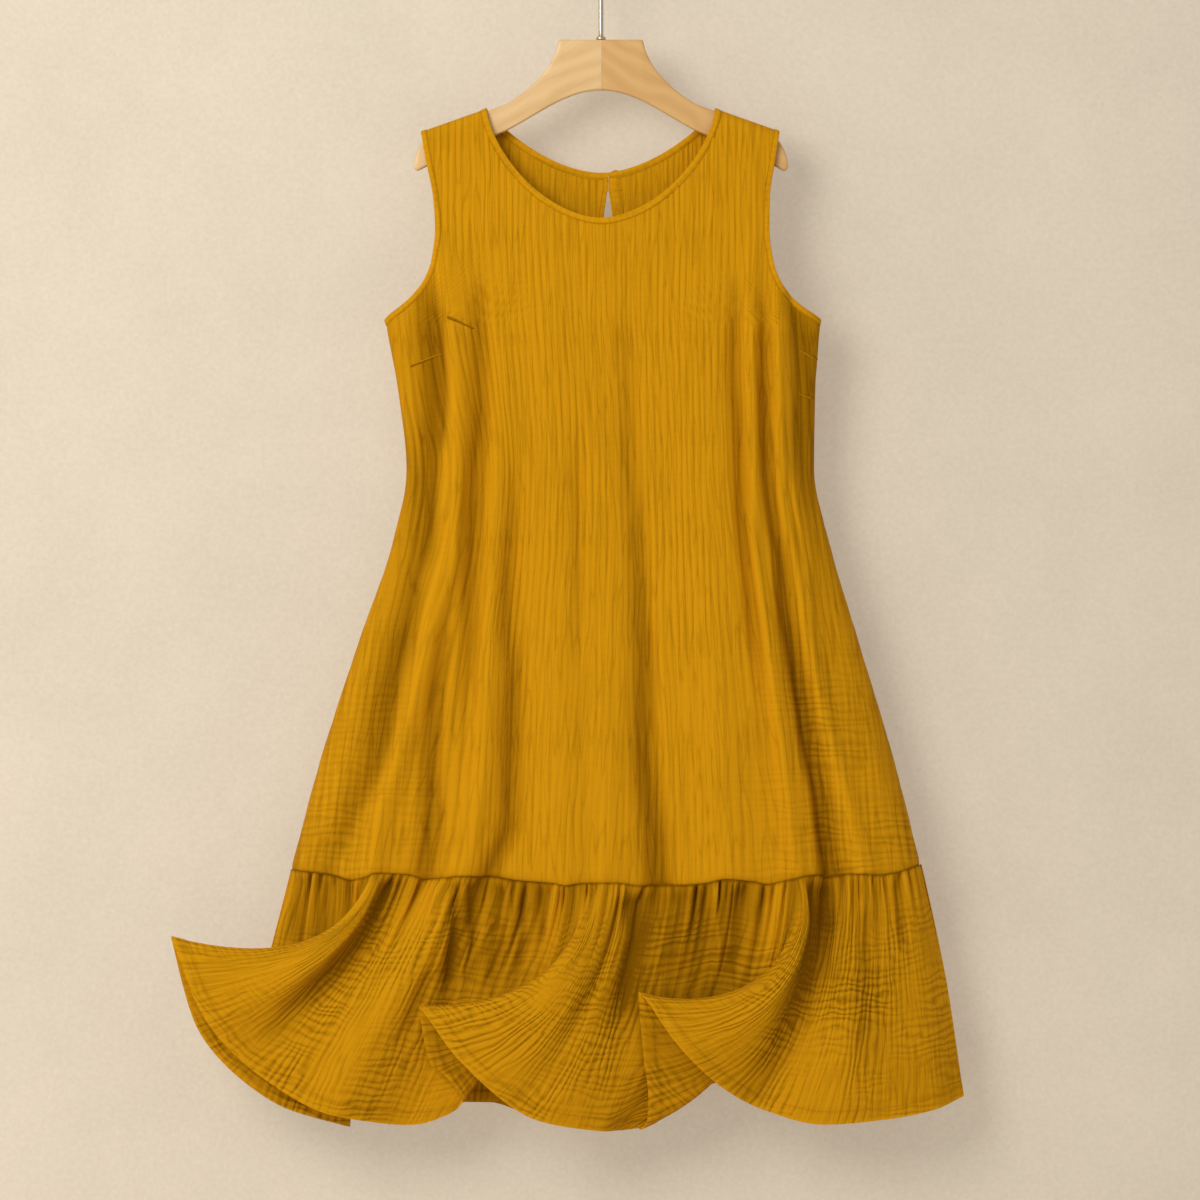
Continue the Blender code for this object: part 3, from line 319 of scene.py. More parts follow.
def quarterRound(share):
    # Rises like a quarter of a circle from 0 to 1
    return np.sqrt(1.0 - (1.0 - np.clip(share, 0.0, 1.0)) ** 2)


def fromSides(x, drop):
    # Distance to the nearer side edge
    left, right = np.moveaxis(sideEdges(drop), -1, 0)
    return np.minimum(x - left, right - x)


def foldLift(side, x, drop):
    # Each fold adds a bell across its path, with a spread of its own on either side
    lift = np.zeros(x.shape)
    for rows in (frontFolds if side < 0 else backFolds).values():
        path, height, left, right = np.moveaxis(columnsOf(rows, 1, 2, 3, 4)(drop), -1, 0)
        lift += height * bell(x - path, np.where(x < path, left, right))
    gain = dress["foldGain"] if side < 0 else 1.0
    return gain * lift * smoothStep(drop, *dress["foldStart"])


def panelY(side, x, drop):
    # y of the front (side -1) or the back (side +1): the panel's depth, rounded like a
    # quarter circle into the side seams and over the shoulder line, plus its folds
    x, drop = np.broadcast_arrays(np.asarray(x, float), np.asarray(drop, float))
    rounding = quarterRound(fromSides(x, drop) / dress["sideRoll"])
    over = quarterRound((drop - shoulderDrop(x)) / dress["shoulderRoll"])
    depth = panelDepths(drop)[..., int(side > 0)] * rounding
    return side * (dress["halfGap"] + over * (depth + foldLift(side, x, drop) * rounding**2))


def panelPoints(side, x, drop):
    return inFrame(x, panelY(side, x, drop), drop)


def neckEdge(side, inset=0.0, count=401):
    # x runs from one neck point to the other and the drop is 1 - |x|^1.8, to a power
    depth, power = dress["necks"][side]
    share = np.sin(np.linspace(-math.pi / 2, math.pi / 2, 801))
    fall = (1.0 - np.abs(share) ** 1.8) ** power
    outline = np.stack([dress["neckPointX"] * share, dress["neckPointDrop"] + depth * fall], 1)
    ways = [(hand, shoulderFall) for hand in (-1, 1)]
    line = movedAside(evened(outline, count), -inset, *ways)
    line[[0, -1], 1] = shoulderDrop(line[[0, -1], 0])
    return line


def armholeEdge(hand, inset=0.0, count=241):
    # From the shoulder tip down to the underarm, moved into the panel by inset
    column = int(hand > 0)
    drops = np.linspace(dress["shoulderTip"], dress["underarm"], 481)
    line = evened(np.stack([armEdges(drops)[:, column], drops], 1), count)
    under = dress["underarm"]
    slide = float(sideEdges(under + 8.0)[column] - sideEdges(under)[column])
    line = movedAside(line, -hand * inset, (hand, shoulderFall), (slide, 8.0))
    line[0, 1] = shoulderDrop(line[0, 0])
    line[-1, 0] = sideEdges(line[-1, 1])[column]
    return line


# Cloth as meshes
def outwardNormals(points, side):
    # The cross product of a grid's two ways, turned to the front (side -1) or the back (1)
    normal = np.cross(np.gradient(points, axis=1), np.gradient(points, axis=0))
    normal /= np.maximum(np.linalg.norm(normal, axis=2, keepdims=True), 1e-12)
    return normal * side * np.sign(normal[..., 1].mean())


def gridQuads(index):
    corners = index[:-1, :-1], index[:-1, 1:], index[1:, 1:], index[1:, :-1]
    return np.stack(corners, axis=-1).reshape(-1, 4)


def cappedTube(rings):
    # Quads round a stack of rings, each end closed by strips across its ring
    index = np.arange(rings[..., 0].size).reshape(rings.shape[:2])
    faces = [gridQuads(np.hstack([index, index[:, :1]]))]
    half = index.shape[1] // 2
    for ring in (index[0], index[-1][::-1]):
        near, far = ring[:half], ring[::-1][:half]
        faces.append(np.stack([near[:-1], far[:-1], far[1:], near[1:]], axis=1))
    return np.vstack(faces)


def newMesh(name, vertices, faces, material, uv=None, marks=None, sharpAngle=60.0):
    # Puts whole arrays of vertices and quads into a mesh, with a UV map and point values
    vertices, faces = np.asarray(vertices, float), np.asarray(faces, int)
    a, b, c, d = (vertices[faces[:, k]] for k in range(4))
    if np.sum(np.cross(b - a, c - a) * a + np.cross(c - a, d - a) * a) < 0:
        faces = faces[:, ::-1]  # a closed shape whose volume comes out negative is inside out
    mesh = bpy.data.meshes.new(name)
    mesh.vertices.add(len(vertices))
    mesh.vertices.foreach_set("co", vertices.ravel())
    mesh.loops.add(faces.size)
    mesh.loops.foreach_set("vertex_index", faces.ravel())
    mesh.polygons.add(len(faces))
    mesh.polygons.foreach_set("loop_start", np.arange(len(faces)) * faces.shape[1])
    mesh.update(calc_edges=True)
    mesh.validate()
    if uv is not None:
        layer = mesh.uv_layers.new(name="cloth")
        layer.data.foreach_set("uv", np.asarray(uv, float)[faces.ravel()].ravel())
    for key, values in (marks or {}).items():
        mesh.attributes.new(key, "FLOAT", "POINT").data.foreach_set("value", np.ravel(values))
    mesh.shade_smooth()
    mesh.set_sharp_from_angle(angle=math.radians(sharpAngle))
    piece = bpy.data.objects.new(name, mesh)
    mesh.materials.append(material)
    bpy.context.scene.collection.objects.link(piece)
    return piece


def settle(piece, slotName, *nodes):
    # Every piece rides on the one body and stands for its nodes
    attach(piece, "root")
    if nodes:
        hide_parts(*nodes)
    return piece


def newShell(name, points, normals, quads, thick, material, uv, marks):
    # A closed cloth: the surface moved out and in by half its thickness, joined at its rim
    count = len(points)
    half = normals * np.reshape(thick, (-1, 1)) * mm / 2
    edges = np.concatenate([quads[:, [k, (k + 1) % 4]] for k in range(4)])
    where, times = np.unique(np.sort(edges, 1), axis=0, return_index=True, return_counts=True)[1:]
    rim = edges[where[times == 1]]
    sides = np.stack([rim[:, 1], rim[:, 0], rim[:, 0] + count, rim[:, 1] + count], axis=1)
    faces = np.vstack([quads, quads[:, ::-1] + count, sides])
    both = {key: np.tile(np.ravel(values), 2) for key, values in marks.items()}
    vertices = np.vstack([points + half, points - half])
    return newMesh(name, vertices, faces, material, np.tile(uv, (2, 1)), both)


# Crinkle of the gauze, in millimetres across and along the threads
crinkle = {
    "pitch": 7.3,
    "second": 5.2,  # pitch of the set that blends in
    "height": 1.0,
    "grooves": 0.6,  # power that narrows them
    "middle": 0.68,
    "noises": {  # cell across, cell along, layer, amount
        "wander": (34, 150, 0, 3.4),
        "shiver": (12, 70, 1, 1.4),
        "part": (50, 160, 4, 5.0),
        "blend": (30, 140, 2, 1.0),
        "strength": (22, 110, 5, 0.26),
        "fine": (2.6, 60, 3, 0.12),
    },
}


def crinkleHeight(u, v, seed=0.0):
    # Ridges along v: the size of a cosine across u, to a power, so that its grooves are
    # narrow. Slow noise bends them, and where other noise is high a closer set blends in, so
    # that ridges part and meet
    def cells(name):
        across, along, layer, amount = crinkle["noises"][name]
        return amount * noise(u / across + seed, v / along, layer)

    bent = u + cells("wander") + cells("shiver")
    sets = ((bent, crinkle["pitch"]), (bent + cells("part"), crinkle["second"]))
    first, second = (
        np.abs(np.cos(math.pi * place / pitch)) ** crinkle["grooves"] for place, pitch in sets
    )
    blend = 0.70 * smoothStep(cells("blend"), -0.6, 0.7)
    ridges = first + (second - first) * blend - crinkle["middle"]
    return crinkle["height"] * ((0.80 + cells("strength")) * ridges + cells("fine"))


# Materials
def feed(tree, socket, value):
    # An input takes a plain value, or the output of another node by a link
    if isinstance(value, bpy.types.NodeSocket):
        tree.links.new(value, socket)
    else:
        socket.default_value = value


def wire(tree, node, *values, **settings):
    # A setting is one of the node's own or an input's; values go to the inputs in order
    for key, value in [*settings.items(), *enumerate(values)]:
        if isinstance(key, str) and key not in node.inputs:
            setattr(node, key, value)
        else:
            feed(tree, node.inputs[key], value)
    return node


def shaderNode(tree, kind, *values, **settings):
    return wire(tree, tree.nodes.new(f"ShaderNode{kind}"), *values, **settings)


def sums(tree, operation, *values, **settings):
    return shaderNode(tree, "Math", *values, operation=operation, **settings).outputs[0]


def blended(tree, share, first, second):
    # The colour between two colours, by a share
    mix = shaderNode(tree, "Mix", share, data_type="RGBA")
    feed(tree, mix.inputs[6], first)
    feed(tree, mix.inputs[7], second)
    return mix.outputs[2]


def mapped(tree, value, low, high, **limits):
    # A value that runs from 0 to 1, or between the given limits, brought between low and high
    ends = {"To Min": low, "To Max": high, **limits}
    return shaderNode(tree, "MapRange", value, **ends).outputs["Result"]


def bumped(tree, height, strength, distance):
    bump = shaderNode(tree, "Bump", Strength=strength, Distance=distance * mm, Height=height)
    return bump.outputs["Normal"]


def newMaterial(name):
    material = bpy.data.materials.new(name)
    material.use_nodes = True
    tree = material.node_tree
    return material, tree, tree.nodes["Principled BSDF"]


def newGroup(name, inputs, outputs):
    # A node group with named sockets, then what its two end nodes offer
    group = bpy.data.node_groups.new(name, "ShaderNodeTree")
    for way, sockets in (("INPUT", inputs), ("OUTPUT", outputs)):
        for socket, kind in sockets.items():
            kind = f"NodeSocket{kind}"
            group.interface.new_socket(name=socket, in_out=way, socket_type=kind)
    return group, group.nodes.new("NodeGroupInput").outputs, group.nodes.new("NodeGroupOutput")


def gauzeGroup():
    # The gauze's own relief over the cloth's UV map, which is in metres: two crossing sets of
    # waves bent by noise, to a power below one so that their grooves are narrow; thin lines
    # where stretched noise passes its middle value; and close waves for the threads. A second
    # output paints the waves' grooves darker, as painted shade
    group, start, end = newGroup(
        "gauze",
        {"Vector": "Vector", "Along": "Float", "Cross": "Float", "Threads": "Float"},
        {"Height": "Float", "Hollow": "Float"},
    )

    def do(operation, *values):
        return sums(group, operation, *values)

    def stretched(scale):
        turn = shaderNode(group, "Mapping", start["Vector"], vector_type="POINT", Scale=scale)
        return turn.outputs["Vector"]

    def cells(scale, detail):
        settings = {"Scale": 1.0, "Detail": detail, "Roughness": 0.5}
        return shaderNode(group, "TexNoise", stretched(scale), **settings).outputs["Fac"]

    def waves(direction, pitch, stretch, bend):
        # A wave's Scale of 0.314 over its pitch in metres gives that pitch
        settings = {"Scale": 0.31416 / pitch, "Distortion": bend, "Detail Scale": 1.1}
        wave = shaderNode(group, "TexWave", stretched(stretch), Detail=2.0, **settings)
        wave.bands_direction = direction
        return wave.outputs["Fac"]

    def ridges(direction, pitch, stretch, bend, amount):
        wave = do("POWER", waves(direction, pitch, stretch, bend), 0.55)
        return do("MULTIPLY", do("SUBTRACT", wave, 0.68), amount)

    along = ridges("X", 0.0084, (1.0, 0.34, 1.0), 9.0, start["Along"])
    across = ridges("Y", 0.0078, (0.46, 1.0, 1.0), 10.0, start["Cross"])
    both = do("ADD", along, do("MULTIPLY", across, 0.85))
    nearLine = do("ABSOLUTE", do("SUBTRACT", cells((150.0, 10.0, 1.0), 1.5), 0.5))
    lines = do("MINIMUM", do("MULTIPLY", nearLine, 18.0), 1.0)
    small = cells((300.0, 24.0, 1.0), 2.0)
    lesser = do("MULTIPLY_ADD", lines, 0.22, do("MULTIPLY", small, 0.22))
    threads = do("ADD", *(waves(way, 0.00075, (1.0, 1.0, 1.0), 1.2) for way in "XY"))
    weave = do("MULTIPLY_ADD", threads, start["Threads"], lesser)
    # Painted shade: the waves' grooves are painted darker, and the thin lines and small noise
    # shift the tone
    paintedShade = do("MULTIPLY_ADD", both, 0.62, do("SUBTRACT", lesser, 0.29))
    wire(group, end, Height=do("ADD", both, weave), Hollow=paintedShade)
    return group


gauze = gauzeGroup()

clothLook = {
    # the light colour, and the shaded colour towards which painted shade darkens it
    "light": (0.640, 0.292, 0.0050, 1.0),
    "paintedShadeColour": (0.235, 0.098, 0.0010, 1.0),
    "threads": 0.05,
    "clouds": 0.05,
    "shader": {
        "Roughness": 0.90,
        "Sheen Weight": 0.05,
        "Sheen Roughness": 0.45,
        "Sheen Tint": (1.0, 0.55, 0.06, 1.0),
        "Specular IOR Level": 0.10,
        "Specular Tint": (1.0, 0.55, 0.06, 1.0),
    },
}


def clothMaterial(name, relief, cross=None):
    # Gauze with painted shade: its colour runs from a shaded colour to the light one by the
    # painted shade of the gauze's own waves and by a point value of painted shade, which the
    # piece gives darker in its hollows, grooves and seams and lighter on its ridges. Where no
    # share of crossing waves is given, point values also say how much the gauze's waves run
    # along and across it ("ridged", "crossed")
    material, tree, shader = newMaterial(name)

    def mark(key):
        return shaderNode(tree, "Attribute", attribute_name=key).outputs["Fac"]

    place = shaderNode(tree, "TexCoord").outputs["UV"]
    waves = {"Cross": cross}
    if cross is None:
        waves = {"Along": mark("ridged"), "Cross": mark("crossed")}
    weave = shaderNode(tree, "Group", node_tree=gauze)
    wire(tree, weave, Vector=place, Threads=clothLook["threads"], **waves)
    clouds = shaderNode(tree, "TexNoise", place, Scale=11.0, Detail=3.0).outputs["Fac"]
    tint = mapped(tree, clouds, -clothLook["clouds"], clothLook["clouds"])
    # Painted shade: the gauze's painted shade and the piece's point value of painted shade
    # together set the colour's level
    height = sums(tree, "ADD", weave.outputs["Hollow"], mark("paintedShade"))
    level = sums(tree, "ADD", height, tint, use_clamp=True)
    wire(tree, shader, Normal=bumped(tree, weave.outputs["Height"], 1.0, relief))
    colour = blended(tree, level, clothLook["paintedShadeColour"], clothLook["light"])
    wire(tree, shader, **clothLook["shader"], **{"Base Color": colour})
    return material


cloth = clothMaterial("cloth", 1.0)
binding = clothMaterial("binding", 0.3, cross=0.25)
threadMaterial = clothMaterial("thread", 0.05, cross=0.2)
print("cloth materials made")

bodyMesh = {
    "neckColumns": 292,
    "shoulderColumns": 56,
    "rows": 120,
    "shoulderRows": 12,
    "fanStart": 310.0,  # above this drop the columns move over to the neck and the shoulders
}


def bodyShares(count):
    # Shares up the side of a panel, closer where it turns over the shoulder
    top = 1.0 - 0.045 * np.linspace(1.0, 0.0, bodyMesh["shoulderRows"]) ** 1.3
    return np.concatenate([np.linspace(0.0, top[0], count - len(top) + 1)[:-1], top])


def sideColumn(hand, inset, count):
    # Up the side seam from its foot and on round the armhole
    column = int(hand > 0)
    arm = armholeEdge(hand, inset)[::-1]
    foot = float(seamDrop(sideEdges(dress["sideSeamFoot"])[column]))
    drops = np.linspace(foot, arm[0, 1], 400)[:-1]
    line = evened(np.vstack([np.stack([sideEdges(drops)[:, column], drops], 1), arm]), 1200)
    return atShares(line, bodyShares(count))


def bodyGrid(side, neckShares):
    # x and drop of a panel's points: columns run from the foot up to the shoulders and the
    # neck, and keep their share of the width below the underarm
    inset = dress["armBand"] - dress["tuck"]
    left, right = (sideColumn(hand, inset, bodyMesh["rows"]) for hand in (-1, 1))
    neck = atShares(neckEdge(side, dress["neckBand"] - dress["tuck"]), neckShares)
    way = np.linspace(0.0, 1.0, bodyMesh["shoulderColumns"] + 1)[:-1, None]
    shoulders = [c[-1] + (end - c[-1]) * way for c, end in ((left, neck[0]), (right, neck[-1]))]
    top = np.vstack([shoulders[0], neck, shoulders[1][::-1]])
    share = np.linspace(0.0, 1.0, len(top))
    ends = [np.interp(top[:, 1], c[::-1, 1], c[::-1, 0]) for c in (left, right)]
    topShare = (top[:, 0] - ends[0]) / (ends[1] - ends[0])
    bottom = seamDrop(left[0, 0] + share * (right[0, 0] - left[0, 0]))
    levels = [(c[0, 1] - c[:, 1]) / (c[0, 1] - c[-1, 1]) for c in (left, right)]
    level = levels[0][:, None] * (1 - share) + levels[1][:, None] * share
    drop = bottom + (top[:, 1] - bottom) * level
    fan = bodyMesh["fanStart"]
    rise = smoothStep(fan - drop, 0.0, np.maximum(fan - top[:, 1], 1.0))
    across = share + (topShare - share) * rise
    low, high = (np.interp(drop, c[::-1, 1], c[::-1, 0]) for c in (left, right))
    x = low + across * (high - low)
    x[:, 0], drop[:, 0] = left.T
    x[:, -1], drop[:, -1] = right.T
    return x, drop


flatCloth = {"width": 414.0, "from": 360.0, "flare": 0.45, "dragLeft": -20.0, "dragRight": 9.0}


def clothPlace(x, drop):
    # Where a point of the body lies in the flat cloth: the threads lean out with the flare,
    # but less than the side seams do, and are dragged inwards under the armholes
    edges = sideEdges(drop)
    middle, width = edges.mean(axis=-1), edges[..., 1] - edges[..., 0]
    flared = flatCloth["width"] + flatCloth["flare"] * (width - flatCloth["width"])
    flat = np.where(drop > flatCloth["from"], flared, width)
    drag = smoothStep(drop, 165.0, 430.0) * bell(np.abs(x) - 128.0, 46.0)
    drag = drag * np.where(x < 0, flatCloth["dragLeft"], flatCloth["dragRight"])
    return (x - middle) / width * flat + drag


clothShade = {
    # painted light and shade: how much each of these brightens the cloth's colour, from the
    # level on. The crinkle's grooves, the fold valleys, the seam's groove and the sides where
    # the panel turns away are painted darker, and the fold ridges lighter
    "level": 0.85,
    "crinkle": 0.50,
    "valley": -0.70,
    "ridge": 0.08,
    "seam": -0.62,
    "sides": -0.10,
}


def clothRelief(side, x, drop, seed):
    # Height of the crinkle off the folds, and the values that the material reads, among them
    # its painted shade. The crinkle is pressed flat under the arms, and is weaker where the
    # shader's waves cross it
    u = clothPlace(x, drop)
    pressed = bell(np.abs(x) - 192.0, 26.0) * bell(drop - 300.0, 44.0)
    lower = smoothStep(drop, 500.0, 740.0) * smoothStep(np.abs(x), 110.0, 250.0)
    patches = np.where(x > 0, 0.55, 0.30) * (0.7 + 0.9 * noise(x / 36 + seed, drop / 44, 7))
    crossed = np.clip(0.05 + lower * patches * (1.0 - 0.8 * pressed), 0.0, 1.0)
    height = crinkleHeight(u, drop, seed) * (1.0 - 0.35 * crossed) * (1.0 - 0.75 * pressed)
    aboveSeam = seamDrop(x) - drop
    shoulder = smoothStep(drop - shoulderDrop(x), 0.0, 14.0)
    calm = 1.0 - bell(aboveSeam, 7.0)
    relief = height * (0.35 + 0.65 * shoulder) * calm - 1.3 * bell(aboveSeam, 2.6)
    folds = foldLift(side, x, drop)
    parts = {
        "crinkle": height * calm / crinkle["height"],
        "valley": np.clip(-folds / 12.5, 0.0, 1.0) ** 1.2,
        "ridge": np.clip(folds / 9.0, 0.0, 1.0),
        "seam": bell(aboveSeam, 1.5),
        "sides": 1.0 - smoothStep(fromSides(x, drop), 0.0, 26.0),
    }
    # Painted shade and highlight: darker in the crinkle's grooves, the fold valleys, the seam's
    # groove and at the turning sides, lighter on fold ridges
    paintedShade = clothShade["level"] + sum(clothShade[key] * part for key, part in parts.items())
    return relief, u, {"paintedShade": paintedShade, "crossed": crossed, "ridged": 0.0 * u}


def bodyPanel(name, node, side, x, drop, parts, quads, used, seed):
    # The panel moved out along its normals by the crinkle, and in at its foot, where it is
    # sewn to the flounce. Each part is a run of rows that has a grid of its own
    points = np.vstack([panelPoints(side, x[p], drop[p]) for p in parts])
    relief, u, marks = clothRelief(side, x, drop, seed)
    normals = np.vstack([outwardNormals(points[p], side) for p in parts])
    points = points + normals * relief[..., None] * mm
    normals = np.vstack([outwardNormals(points[p], side) for p in parts])
    uv = np.stack([u, -drop], axis=-1) * mm
    points, normals, uv = (a.reshape(-1, a.shape[-1])[used] for a in (points, normals, uv))
    marks = {key: values.ravel()[used] for key, values in marks.items()}
    thick = np.full(len(used), dress["cloth"])
    piece = newShell(name, points, normals, quads, thick, cloth, uv, marks)
    return settle(piece, "cloth", node)


def footRows(x, drop, shares=(0.0, 0.35, 0.9, 1.9)):
    # Draws the lowest rows of a grid towards the seam, so that its groove is crisp; their
    # ends stay on the side seams
    rows = len(shares)
    for values in (x, drop):
        step = (values[rows] - values[0]) / rows
        values[:rows] = values[0] + step * np.array(shares)[:, None]
    for column, end in ((0, 0), (1, -1)):
        x[:rows, end] = sideEdges(drop[:rows, end])[:, column]
    return x, drop


x, drop = footRows(*bodyGrid(-1, np.linspace(0.0, 1.0, bodyMesh["neckColumns"])))
quads = gridQuads(np.arange(x.size).reshape(x.shape))
frontCloth = bodyPanel(
    "front_body_cloth", "front_body", -1, x, drop, [slice(None)], quads, np.arange(x.size), 0.0
)
print("front made")

keyhole = {
    "x": 7.0,
    "top": 150.0,
    "length": 58.0,
    "swell": 7.6,
    "slit": 0.15,  # half the width of the slit above it
    "band": 5.0,
    "facing": 12.0,  # width of the binding's hidden side
    "reach": 34.0,  # the cloth's columns bend aside this far from it,
    "below": 60.0,  # and this far below
}
backNeckFoot = dress["neckPointDrop"] + dress["necks"][1][0]


def keyholeHalf(inset):
    # The left half of the keyhole's edge: a slit, then half a drop shape whose width rises
    # with a power of the way down and closes like a quarter round
    drops = keyhole["top"] + keyhole["length"] * (1 - np.cos(np.linspace(0, math.pi, 161))) / 2
    share = (drops - keyhole["top"]) / keyhole["length"]
    width = share**0.75 * np.sqrt(1 - np.minimum(share, 1) ** 4)
    half = keyhole["slit"] + keyhole["swell"] * width
    half[-1] = 0.0
    slitTop = backNeckFoot + dress["neckBand"] - 1.5
    line = np.vstack([[-keyhole["slit"], slitTop], np.stack([-half, drops], 1)])
    line = movedAside(line, -inset, (1, 0), (0, 1))
    line[0, 1] = slitTop
    line[-1, 0] = 0.0
    return line


def backPanel():
    # Two halves that part at the slit and round the keyhole and share their points below it
    neck = neckEdge(1, dress["neckBand"] - dress["tuck"])
    centre = float(np.interp(keyhole["x"], neck[:, 0], np.linspace(0.0, 1.0, len(neck))))
    count = bodyMesh["neckColumns"] // 2 + 1
    run = np.concatenate([np.linspace(0, centre, count), np.linspace(centre, 1, count)[1:]])
    x, drop = footRows(*bodyGrid(1, run))
    middle = x.shape[1] // 2
    edge = keyholeHalf(keyhole["band"] - dress["tuck"])
    foot = edge[-1, 1]
    footRow = int(np.argmin(np.abs(drop[:, middle] - foot)))
    pull = bell(np.arange(x.shape[1]) - middle, 12.0)
    way = np.linspace(1.0, 0.0, len(drop) - footRow)[:, None]
    drop[footRow:] += (foot - drop[footRow, middle]) * way * pull
    parted = -np.interp(drop[:, middle], edge[:, 1], edge[:, 0], right=0.0)
    parted[: footRow + 1] = 0.0
    near = bell(x - x[:, [middle]], keyhole["reach"])
    near = near * smoothStep(drop, foot + keyhole["below"], foot)
    shift = keyhole["x"] - x[:, [middle]]
    halves = [x + near * (shift + hand * parted[:, None]) for hand in (-1, 1)]
    number = np.arange(x.size).reshape(x.shape)
    leftSide, rightSide = number[:, : middle + 1], number[:, middle:] + x.size
    rightSide[: footRow + 1, 0] = leftSide[: footRow + 1, -1]
    quads = np.vstack([gridQuads(leftSide), gridQuads(rightSide)])
    used = np.unique(quads)
    return np.vstack(halves), np.vstack([drop, drop]), np.searchsorted(used, quads), used


x, drop, quads, used = backPanel()
halves = [slice(0, len(x) // 2), slice(len(x) // 2, None)]
backCloth = bodyPanel(
    "back_body_cloth", "back_body", 1, x, drop, halves, quads, used, 40.0
)
print("back made")

# The flounce. Ribs fall from seamX through a knee and a reach to the hem; forward is the
# distance from the hanger's plane half way down and at the hem
flounceMesh = {"columns": 640, "rows": 74, "backColumns": 420, "backRows": 66}
frontRibs = {
    # name: seamX, kneeX, kneeDrop, reachX, reachDrop, hemX, hemDrop, forwardMid, forwardHem
    "sideLeft": (-309.5, -322, 880, -345, 965, -356, 1026, 0.1, 0.1),
    "hiddenBack": (-276, -284, 905, -292, 990, -302, 1048, 20, 16),
    "rollARoot": (-240, -246, 915, -246, 1020, -250, 1085, 28, 22),
    "rollASliverLow": (-236, -250, 912, -300, 1010, -318, 1064, 36, 29),
    "rollASliverHigh": (-232, -250, 912, -342, 958, -402, 985, 42, 36),
    "rollACrest": (-228, -247, 910, -341, 918, -427, 895, 49, 41),
    "rollABrow": (-224, -244, 910, -339, 918, -425, 900, 57, 49),
    "wingUpper": (-218, -237, 905, -310, 945, -394, 974, 62, 54),
    "wingValley": (-204, -221, 892, -280, 965, -344, 1029, 45, 44),
    "wingRidge": (-161, -184, 900, -232, 990, -268, 1071, 52, 50),
    "wingTrough": (-104, -116, 905, -152, 1005, -193, 1083, 29, 20),
    "rollBRoot": (-40, -44, 935, -112, 1022, -149, 1071, 29, 20),
    "rollBTurn": (-34, -37, 935, -103, 1010, -138, 1058, 36, 27),
    "rollBRise": (-28, -30, 932, -98, 1000, -149, 1040, 42, 36),
    "rollBSliver": (-22, -24, 940, -92, 1006, -171, 1017, 46, 42),
    "rollBCrest": (-13, -15, 920, -82, 966, -181, 963, 59, 55),
    "rollBBrow": (-8, -10, 918, -79, 966, -177, 967, 67, 64),
    "rollBFront": (2, 0, 915, -54, 985, -140, 1016, 70, 68),
    "rollBBelly": (26, 22, 920, -22, 1010, -62, 1076, 62, 60),
    "rollBTrough": (66, 60, 920, 36, 1010, 2, 1088, 40, 40),
    "gatherBay": (128, 124, 925, 96, 1030, 18, 1089, 28, 20),
    "rollCRoot": (181, 175, 960, 130, 1046, 38, 1087, 28, 16),
    "rollCTurn": (185, 181, 957, 137, 1046, 46, 1078, 37, 31),
    "rollCRise": (188, 185, 953, 133, 1033, 47, 1054, 43, 38),
    "rollCSliver": (191, 190, 945, 122, 1014, 42, 1012, 48, 44),
    "rollCCrest": (195, 212, 914, 134, 976, 37, 948, 59, 55),
    "rollCBrow": (198, 216, 912, 140, 977, 42, 953, 67, 64),
    "rollCFront": (202, 222, 915, 166, 988, 74, 998, 70, 68),
    "rollCBelly": (209, 227, 912, 186, 995, 118, 1042, 66, 58),
    "rollCTrough": (224, 233, 912, 206, 1004, 160, 1066, 40, 42),
    "plainRidge": (252, 254, 912, 246, 1000, 222, 1081, 47, 46),
    "plainTrough": (281, 290, 912, 290, 1000, 282, 1077, 34, 36),
    "plainSide": (304, 318, 905, 328, 990, 332, 1068, 24, 25),
    "sideRight": (320, 337, 893, 351, 970, 363, 1056, 0.1, 0.1),
}
backRibs = [
    # seamX, hemX, hemDrop, behindMid, behindHem
    (-278, -322, 1048, 22, 30), (-236, -268, 1062, 38, 46), (-190, -214, 1072, 28, 24),
    (-140, -156, 1066, 40, 48), (-92, -112, 1064, 30, 24), (-44, -52, 1083, 40, 48),
    (8, 4, 1083, 30, 24), (60, 66, 1070, 41, 48), (110, 122, 1044, 30, 26),
    (160, 182, 1056, 40, 48), (212, 238, 1070, 28, 24), (262, 296, 1066, 36, 42),
    (298, 338, 1058, 20, 26),
]
flounceTop = {"below": 0.4, "under": 1.6}  # its start, below the seam and inside the panel


def seamPoint(side, x):
    drop = seamDrop(x)
    y = panelY(side, x, drop) - side * flounceTop["under"]
    return np.stack([x + 0 * y, y, drop + flounceTop["below"]], axis=-1)


def frontRib(side, rib):
    # A cubic Bezier curve whose middle lies at forwardMid
    seamX, kneeX, kneeDrop, reachX, reachDrop, hemX, hemDrop, mid, hem = rib
    top = seamPoint(side, seamX)
    middle = side * (8 * mid - abs(top[1]) - hem) / 6
    knee, reach = (kneeX, middle, kneeDrop), (reachX, middle, reachDrop)
    return np.array([top, knee, reach, (hemX, side * hem, hemDrop)])


def backRib(rib):
    # The same curve, whose two middle points lie at shares of the lean and the fall
    seamX, hemX, hemDrop, mid, hem = rib
    top, foot = seamPoint(1, seamX), np.array([hemX, hem, hemDrop])
    middle = (8 * mid - top[1] - hem) / 6
    knee, reach = (
        (seamX + lean * (hemX - seamX), middle, top[2] + fall * (hemDrop - top[2]))
        for lean, fall in ((0.40, 1 / 3), (0.78, 2 / 3))
    )
    return np.array([top, knee, reach, foot])


